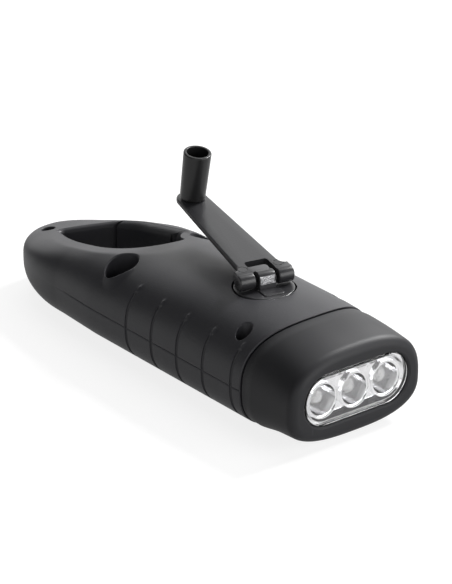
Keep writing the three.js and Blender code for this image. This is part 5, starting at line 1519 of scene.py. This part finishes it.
@dataclass
class Crank:
    """The hub, the folding arm and the turning knob."""

    finishes: Finishes
    angle: float = -11.5
    raise_by: float = 6.2
    hinge_z: float = 38.6
    hub_top: float = 35.6
    hub_thick: float = 1.8
    hub_radius: float = 10.0
    knuckle: float = 2.7
    hinge_half: float = 9.8
    middle_half: float = 3.05
    inner: float = 4.2
    arm_thick: float = 2.3
    arm_end_thick: float = 1.5
    arm_length: float = 52.5
    arm_end: float = 5.3
    arm_root: float = 7.2
    window_end: float = 7.2
    knob_height: float = 17.6
    knob_top: float = 4.7
    knob_base: float = 4.3
    knob_bore: float = 3.65
    lean_back: float = 3.0
    lean_side: float = 1.8
    facet_tilt: float = 10.0

    def hinge(self) -> Matrix:
        """From a frame in the middle of the hinge to the crank's own."""
        return Matrix.Translation((0, 0, self.hinge_z))

    def spin(self) -> Matrix:
        """From the crank's own frame to the shared one."""
        return Matrix.Rotation(math.radians(self.angle), 4, "Z")

    def fold(self) -> Matrix:
        """From the arm's frame, hinge on X and arm along Y, to the shared one."""
        lift = Matrix.Rotation(math.radians(self.raise_by), 4, "X")
        return self.spin() @ self.hinge() @ lift

    def grip(self) -> Matrix:
        """From the knob's frame to the shared one.

        Returns:
            The matrix, with the knob's lean in it.
        """
        place = Matrix.Translation((0, self.arm_length, self.knuckle))
        back = Matrix.Rotation(math.radians(self.lean_back), 4, "X")
        side = Matrix.Rotation(math.radians(self.lean_side), 4, "Y")
        return self.fold() @ place @ back @ side

    def barrel(self, left: float, right: float, radius: float, ease: float = 0.4) -> Solid:
        """A round bar about the X axis with rounded ends.

        Args:
            left: its lower x.
            right: its higher x.
            radius: its radius.
            ease: radius of its rounded ends.

        Returns:
            The bar.
        """
        ends = [(radius - ease * drop, ease * out) for out, drop in quarter(0, 90, 6)]
        profile = [(r, left + z) for r, z in ends] + [(r, right - z) for r, z in reversed(ends)]
        return lathe(profile, 72).moved(Matrix.Rotation(math.pi / 2, 4, "Y"))

    def slab(self, plan: np.ndarray, low: float, high: float, ease: float) -> Solid:
        """An outline raised along Z with a rounded top edge.

        Args:
            plan: array (n, 2), counterclockwise.
            low: height of its bottom.
            high: height of its top.
            ease: radius of the edge.

        Returns:
            The slab.
        """
        rows = [(low, 0.0)] + [(high - ease * drop, -ease * out) for out, drop in quarter(0, 90, 6)]
        rings = [at_height(grown(plan, g), z) for z, g in rows]
        return Solid.rings(np.stack(rings), Ends.FACE)

    def build_hub(self) -> None:
        """Builds the disc, its shaft, the pad, and the middle knuckle with its textured facet, whose pale
        metal finish is a painted highlight.
        """
        low, top = self.hub_top - self.hub_thick, self.hub_top
        rim = [(self.hub_radius - 0.3 * out, top - 0.3 * drop) for out, drop in quarter(0, 90, 6)]
        disc = lathe([(self.hub_radius, low), *rim], 128)
        keyed = post(3.0, 26.9, low + 0.2).common(block(-2.1, 2.1, -3, 3, 26, 36))
        shaft = post(3.0, 29.9, low + 0.2)
        half = self.middle_half
        middle = self.barrel(-half, half, self.knuckle, 0.35).moved(self.hinge())
        web = self.slab(rounded(-half, half, -2.65, 2.65, 0.3), low, self.hinge_z - 0.2, 0.1)
        tab = self.slab(rounded(-half, half, -1.0, 5.2, 0.4), low, top + 1.2, 0.35)
        pad = self.slab(rounded(-3.7, 3.7, -7.6, -2.0, 0.9), low, top + 0.4, 0.35)
        hub = disc.add(keyed, shaft, middle, web, tab, pad)
        bore = self.barrel(-10, 10, 0.98, 0.01).moved(self.hinge())
        hub = hub.cut(bore, post(1.3, 0, 32.2))
        facet = block(-half - 1, half + 1, -4.6, -2.42, -2.1, 1.9)
        tilt = math.radians(self.facet_tilt)
        facet = facet.moved(self.hinge() @ Matrix.Rotation(-tilt, 4, "X"))
        hub = hub.cut(facet.common(block(-2.7, 2.7, -10, 0, self.hinge_z - 2.2, 45)))
        piece = hub.moved(self.spin()).finished("crank_hub_skin")
        dress(piece, self.finishes.crank, "crank", "crank", "crank_hub")
        middles, normals = faces_of(piece)
        facing = np.array(self.spin().to_3x3() @ Vector((0, -math.cos(tilt), math.sin(tilt))))
        high = middles[:, 2] > self.hinge_z - 2.7
        # The facet's faces get the pale finish, a painted highlight on the black knuckle.
        paint(piece, self.finishes.facet, (normals @ facing > 0.995) & high)

    def arm_outline(self) -> np.ndarray:
        """Plan of the arm: wide at the hinge, drawn in to a taper, round at its end.

        Returns:
            Array (n, 2), counterclockwise.
        """
        half, root = self.hinge_half, self.arm_root
        line = np.linspace(0, 1, 24)[1:-1, None]
        right = curve((half, 3.0), (root, 3.0), (root, 7.0), 12)
        end = arc(0, self.arm_length, self.arm_end, 0, math.pi, 48)
        run = np.array([root, 7.0]) + (end[0] - [root, 7.0]) * line
        one_side = np.concatenate([[[half, 0.0], [half, 1.5], [half, 3.0]], right, [[root, 7.0]], run])
        other = one_side[::-1] * [-1, 1]
        return np.concatenate([one_side, end, other])

    def build_arm(self) -> None:
        """Builds the arm: a tapered plate with eased edges, two knuckles, a window and marks."""
        top, bottom = self.knuckle, self.knuckle - self.arm_thick
        tip = self.arm_length + self.arm_end
        plan = self.arm_outline()
        rings = []
        ease = 0.45
        for out, drop in quarter(90, 0, 5):
            row = grown(plan, -ease * out)
            floor = bottom + (top - self.arm_end_thick - bottom) * row[:, 1] / tip
            rings.append(at_height(row, floor + ease * drop))
        rings += [at_height(grown(plan, -ease * out), top - ease * drop) for out, drop in quarter(0, 90, 6)]
        plate = Solid.rings(np.stack(rings), Ends.FACE)
        knuckles = [
            self.barrel(-self.hinge_half, -self.inner, self.knuckle, 0.45),
            self.barrel(self.inner, self.hinge_half, self.knuckle, 0.45),
        ]
        corner = prism(rounded(-self.inner, self.inner, -9.0, self.window_end, 1.1), -6, 6)
        marks = []
        for side in (-1, 1):
            ring = lathe([(1.55, 2.55), (1.75, 2.55), (1.75, 3.2), (1.55, 3.2)], 48, Ends.LOOP)
            marks.append(ring.moved(Matrix.Translation((side * 6.5, 3.2, 0))))
        bore = self.barrel(-16, 16, 0.95, 0.01)
        arm = plate.add(*knuckles).cut(corner, bore, *marks, post(2.1, -6, 6, 0, self.arm_length))
        piece = arm.moved(self.fold()).finished("crank_arm_skin")
        dress(piece, self.finishes.crank, "arm", "crank", "crank_arm")

    def build_post(self) -> None:
        """Builds the post that the knob turns on: foot, collar, shank and a split snap head."""
        head = 6.8
        profile = [(1.8, -1.5), (1.8, 0.3), (3.0, 0.3), (3.0, 1.4), (2.9, 1.5), (1.8, 1.5), (1.8, head),
                   (2.7, head), (2.9, head + 0.2), (1.9, head + 1.7), (1.7, head + 1.8)]
        stem = lathe(profile, 64).cut(block(-3, 3, -0.4, 0.4, 4.5, 12))
        piece = stem.moved(self.grip()).finished("knob_post_skin")
        # The lighter stem finish is a painted highlight inside the knob's bore.
        dress(piece, self.finishes.stem, "arm", "crank", "knob_post")

    def build_knob(self) -> None:
        """Builds the hollow knob: tapered sleeve, rounded lips, and a web with its bearing hole."""
        gap, web = 0.5, (4.5, 6.3)
        ease = 0.42
        lip = 0.25
        turn = quarter(0, 90, 6)
        bore, top = self.knob_bore, self.knob_height
        outer = [(self.knob_base, gap + 0.3)]
        outer += [(self.knob_top - ease * out, top - ease * drop) for out, drop in turn]
        inner = [(bore + lip * drop, top - lip * out) for out, drop in turn]
        profile = [(bore, gap), (self.knob_base - 0.3, gap), *outer, *inner, (bore, web[1] + 0.3),
                   (bore - 0.3, web[1]), (1.88, web[1]), (1.88, web[0]), (bore, web[0])]
        piece = lathe(profile, 128, Ends.LOOP).moved(self.grip()).finished("crank_knob_skin", 40)
        dress(piece, self.finishes.knob, "knob", "knob", "crank_knob")

    def build(self) -> None:
        """Builds the hub, arm, post and knob, in order."""
        self.build_hub()
        self.build_arm()
        self.build_post()
        self.build_knob()


@dataclass
class Works:
    """The frame's own nodes that keep their shape and only get a finish."""

    finishes: Finishes

    def dress(self) -> None:
        """Gives each kept node its finish."""
        keep = {
            self.finishes.steel: (
                "case_screw_front_left", "case_screw_front_right", "case_screw_rear_left",
                "case_screw_rear_right", "case_screw_tail", "gear_plate", "plate_screw_1",
                "plate_screw_2", "plate_screw_3", "idler_axle_first", "idler_axle_second",
                "generator_rotor", "hub_screw", "gate_pin", "gate_spring", "tact_switch",
            ),
            self.finishes.black_steel: ("hinge_pin",),
            self.finishes.gear: ("crank_gear", "idler_first", "idler_second"),
            self.finishes.copper: ("generator_stator",),
            self.finishes.white_board: ("led_board",),
            self.finishes.board: ("circuit_board",),
            self.finishes.wrap: ("battery",),
            self.finishes.cell: ("solar_panel",),
            self.finishes.button: ("push_button",),
        }
        for material, names in keep.items():
            for name in names:
                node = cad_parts[name]
                node.data.materials.clear()
                node.data.materials.append(material)


@dataclass
class Studio:
    """The camera, the floor and the light, in metres, degrees and picture points."""

    distance: float = 1.0339
    turn: float = -38.64
    rise: float = 24.5
    roll: float = 0.23
    hub_x: float = 264.318
    hub_y: float = 285.011
    focal: float = 3212.0
    picture: tuple = (452, 584)
    hub_z: float = 0.036
    floor_tone: float = 0.26
    floor_glow: float = 0.82
    mirrored: float = 0.55
    world_level: float = 0.13
    aim: tuple = (0, 0.03, 0.02)

    def build_camera(self) -> None:
        """Stands the camera where the photograph was taken from.

        Back is the direction from the hub to the camera; the aim is turned so that the hub's
        disc lies at its own place in the picture.
        """
        a, e = math.radians(self.turn), math.radians(self.rise)
        back = Vector((math.sin(a) * math.cos(e), -math.cos(a) * math.cos(e), math.sin(e)))
        right = Vector((math.cos(a), math.sin(a), 0))
        up = back.cross(right)
        wide, tall = self.picture
        data = bpy.data.cameras.new("camera")
        data.sensor_fit = "AUTO"
        data.sensor_width = 36
        data.lens = self.focal / tall * data.sensor_width
        data.clip_start, data.clip_end = 0.05, 20
        camera = set_out("camera", data)
        along = (self.hub_x - wide / 2) / self.focal
        down = (self.hub_y - tall / 2) / self.focal
        place = Vector((0, 0, self.hub_z)) + (back - right * along + up * down) * self.distance
        roll = math.radians(self.roll)
        r2 = right * math.cos(roll) + up * math.sin(roll)
        u2 = up * math.cos(roll) - right * math.sin(roll)
        camera.matrix_world = Matrix([(*row, 0) for row in (r2, u2, back)] + [(*place, 1)]).transposed()
        bpy.context.scene.camera = camera

    def build_floor(self) -> None:
        """Lays a wide white floor that keeps the shadow and reads white to the camera and in mirrors."""
        edge = np.array([[-6, -6], [6, -6], [6, 6], [-6, 6]], float)
        mesh = bpy.data.meshes.new("floor")
        mesh.from_pydata(np.column_stack([edge, np.full(4, -0.0002)]).tolist(), [], [[0, 1, 2, 3]])
        floor = set_out("floor", mesh)
        material = bpy.data.materials.new("floor_white")
        tree = Tree(material)
        tree.nodes.clear()
        diffuse = tree.add("BsdfDiffuse", {"Color": (*[self.floor_tone] * 3, 1)})
        path = tree.add("LightPath", {}).outputs
        seen = {0: path["Is Glossy Ray"], 1: self.mirrored, 2: path["Is Camera Ray"]}
        seen = tree.add("Math", seen, operation="MULTIPLY_ADD")
        lift = tree.add("Math", {0: seen.outputs[0], 1: self.floor_glow}, operation="MULTIPLY")
        glow = tree.add("Emission", {"Strength": lift.outputs[0]})
        both = tree.add("AddShader", {0: diffuse.outputs[0], 1: glow.outputs[0]})
        tree.add("OutputMaterial", {"Surface": both.outputs[0]})
        mesh.materials.append(material)

    def add_lamp(self, name: str, place: tuple, size: tuple, power: float) -> None:
        """Hangs one soft lamp that looks at the object and that the camera doesn't see.

        Args:
            name: the lamp's name.
            place: where it hangs, in metres.
            size: its width and height, in metres.
            power: its power, in watts.
        """
        data = bpy.data.lights.new(name, "AREA")
        data.shape = "RECTANGLE"
        data.size, data.size_y = size
        data.energy = power
        lamp = set_out(name, data)
        lamp.location = place
        aim = Vector(self.aim) - Vector(place)
        lamp.rotation_mode = "QUATERNION"
        lamp.rotation_quaternion = aim.to_track_quat("-Z", "Y")
        lamp.visible_camera = False

    def build_light(self) -> None:
        """Sets the pale world and the soft lamps."""
        world = bpy.data.worlds.new("studio")
        tree = Tree(world)
        camera = tree.add("LightPath", {}).outputs["Is Camera Ray"]
        strength = tree.spread(camera, self.world_level, 1.0)
        tree.feed(tree.nodes["Background"], {"Color": (1, 1, 1, 1), "Strength": strength})
        bpy.context.scene.world = world
        self.add_lamp("key_lamp", (1.05, 0.05, 0.95), (0.4, 0.4), 27)
        self.add_lamp("top_lamp", (0.3, 0.35, 1.25), (1.0, 1.0), 4)
        self.add_lamp("back_panel", (0.85, 1.1, 0.55), (2.4, 0.9), 10)
        self.add_lamp("front_card", (0.45, -1.0, 0.35), (1.2, 0.8), 10)
        self.add_lamp("side_card", (-0.8, -0.75, 0.3), (1.2, 0.5), 2.4)

    def build(self) -> None:
        """Builds the camera, floor and light, and sets the view transform."""
        bpy.context.scene.view_settings.view_transform = "Standard"
        self.build_camera()
        self.build_floor()
        self.build_light()


def main() -> None:
    """Builds the studio and every sub-assembly, in order."""
    logging.basicConfig(level=logging.INFO)
    form = BodyForm()
    finishes = Finishes()
    Studio().build()
    Housing(form, Ring(form), finishes).build()
    Head(form, finishes).build()
    Crank(finishes).build()
    Works(finishes).dress()


if __name__ == "__main__":
    main()
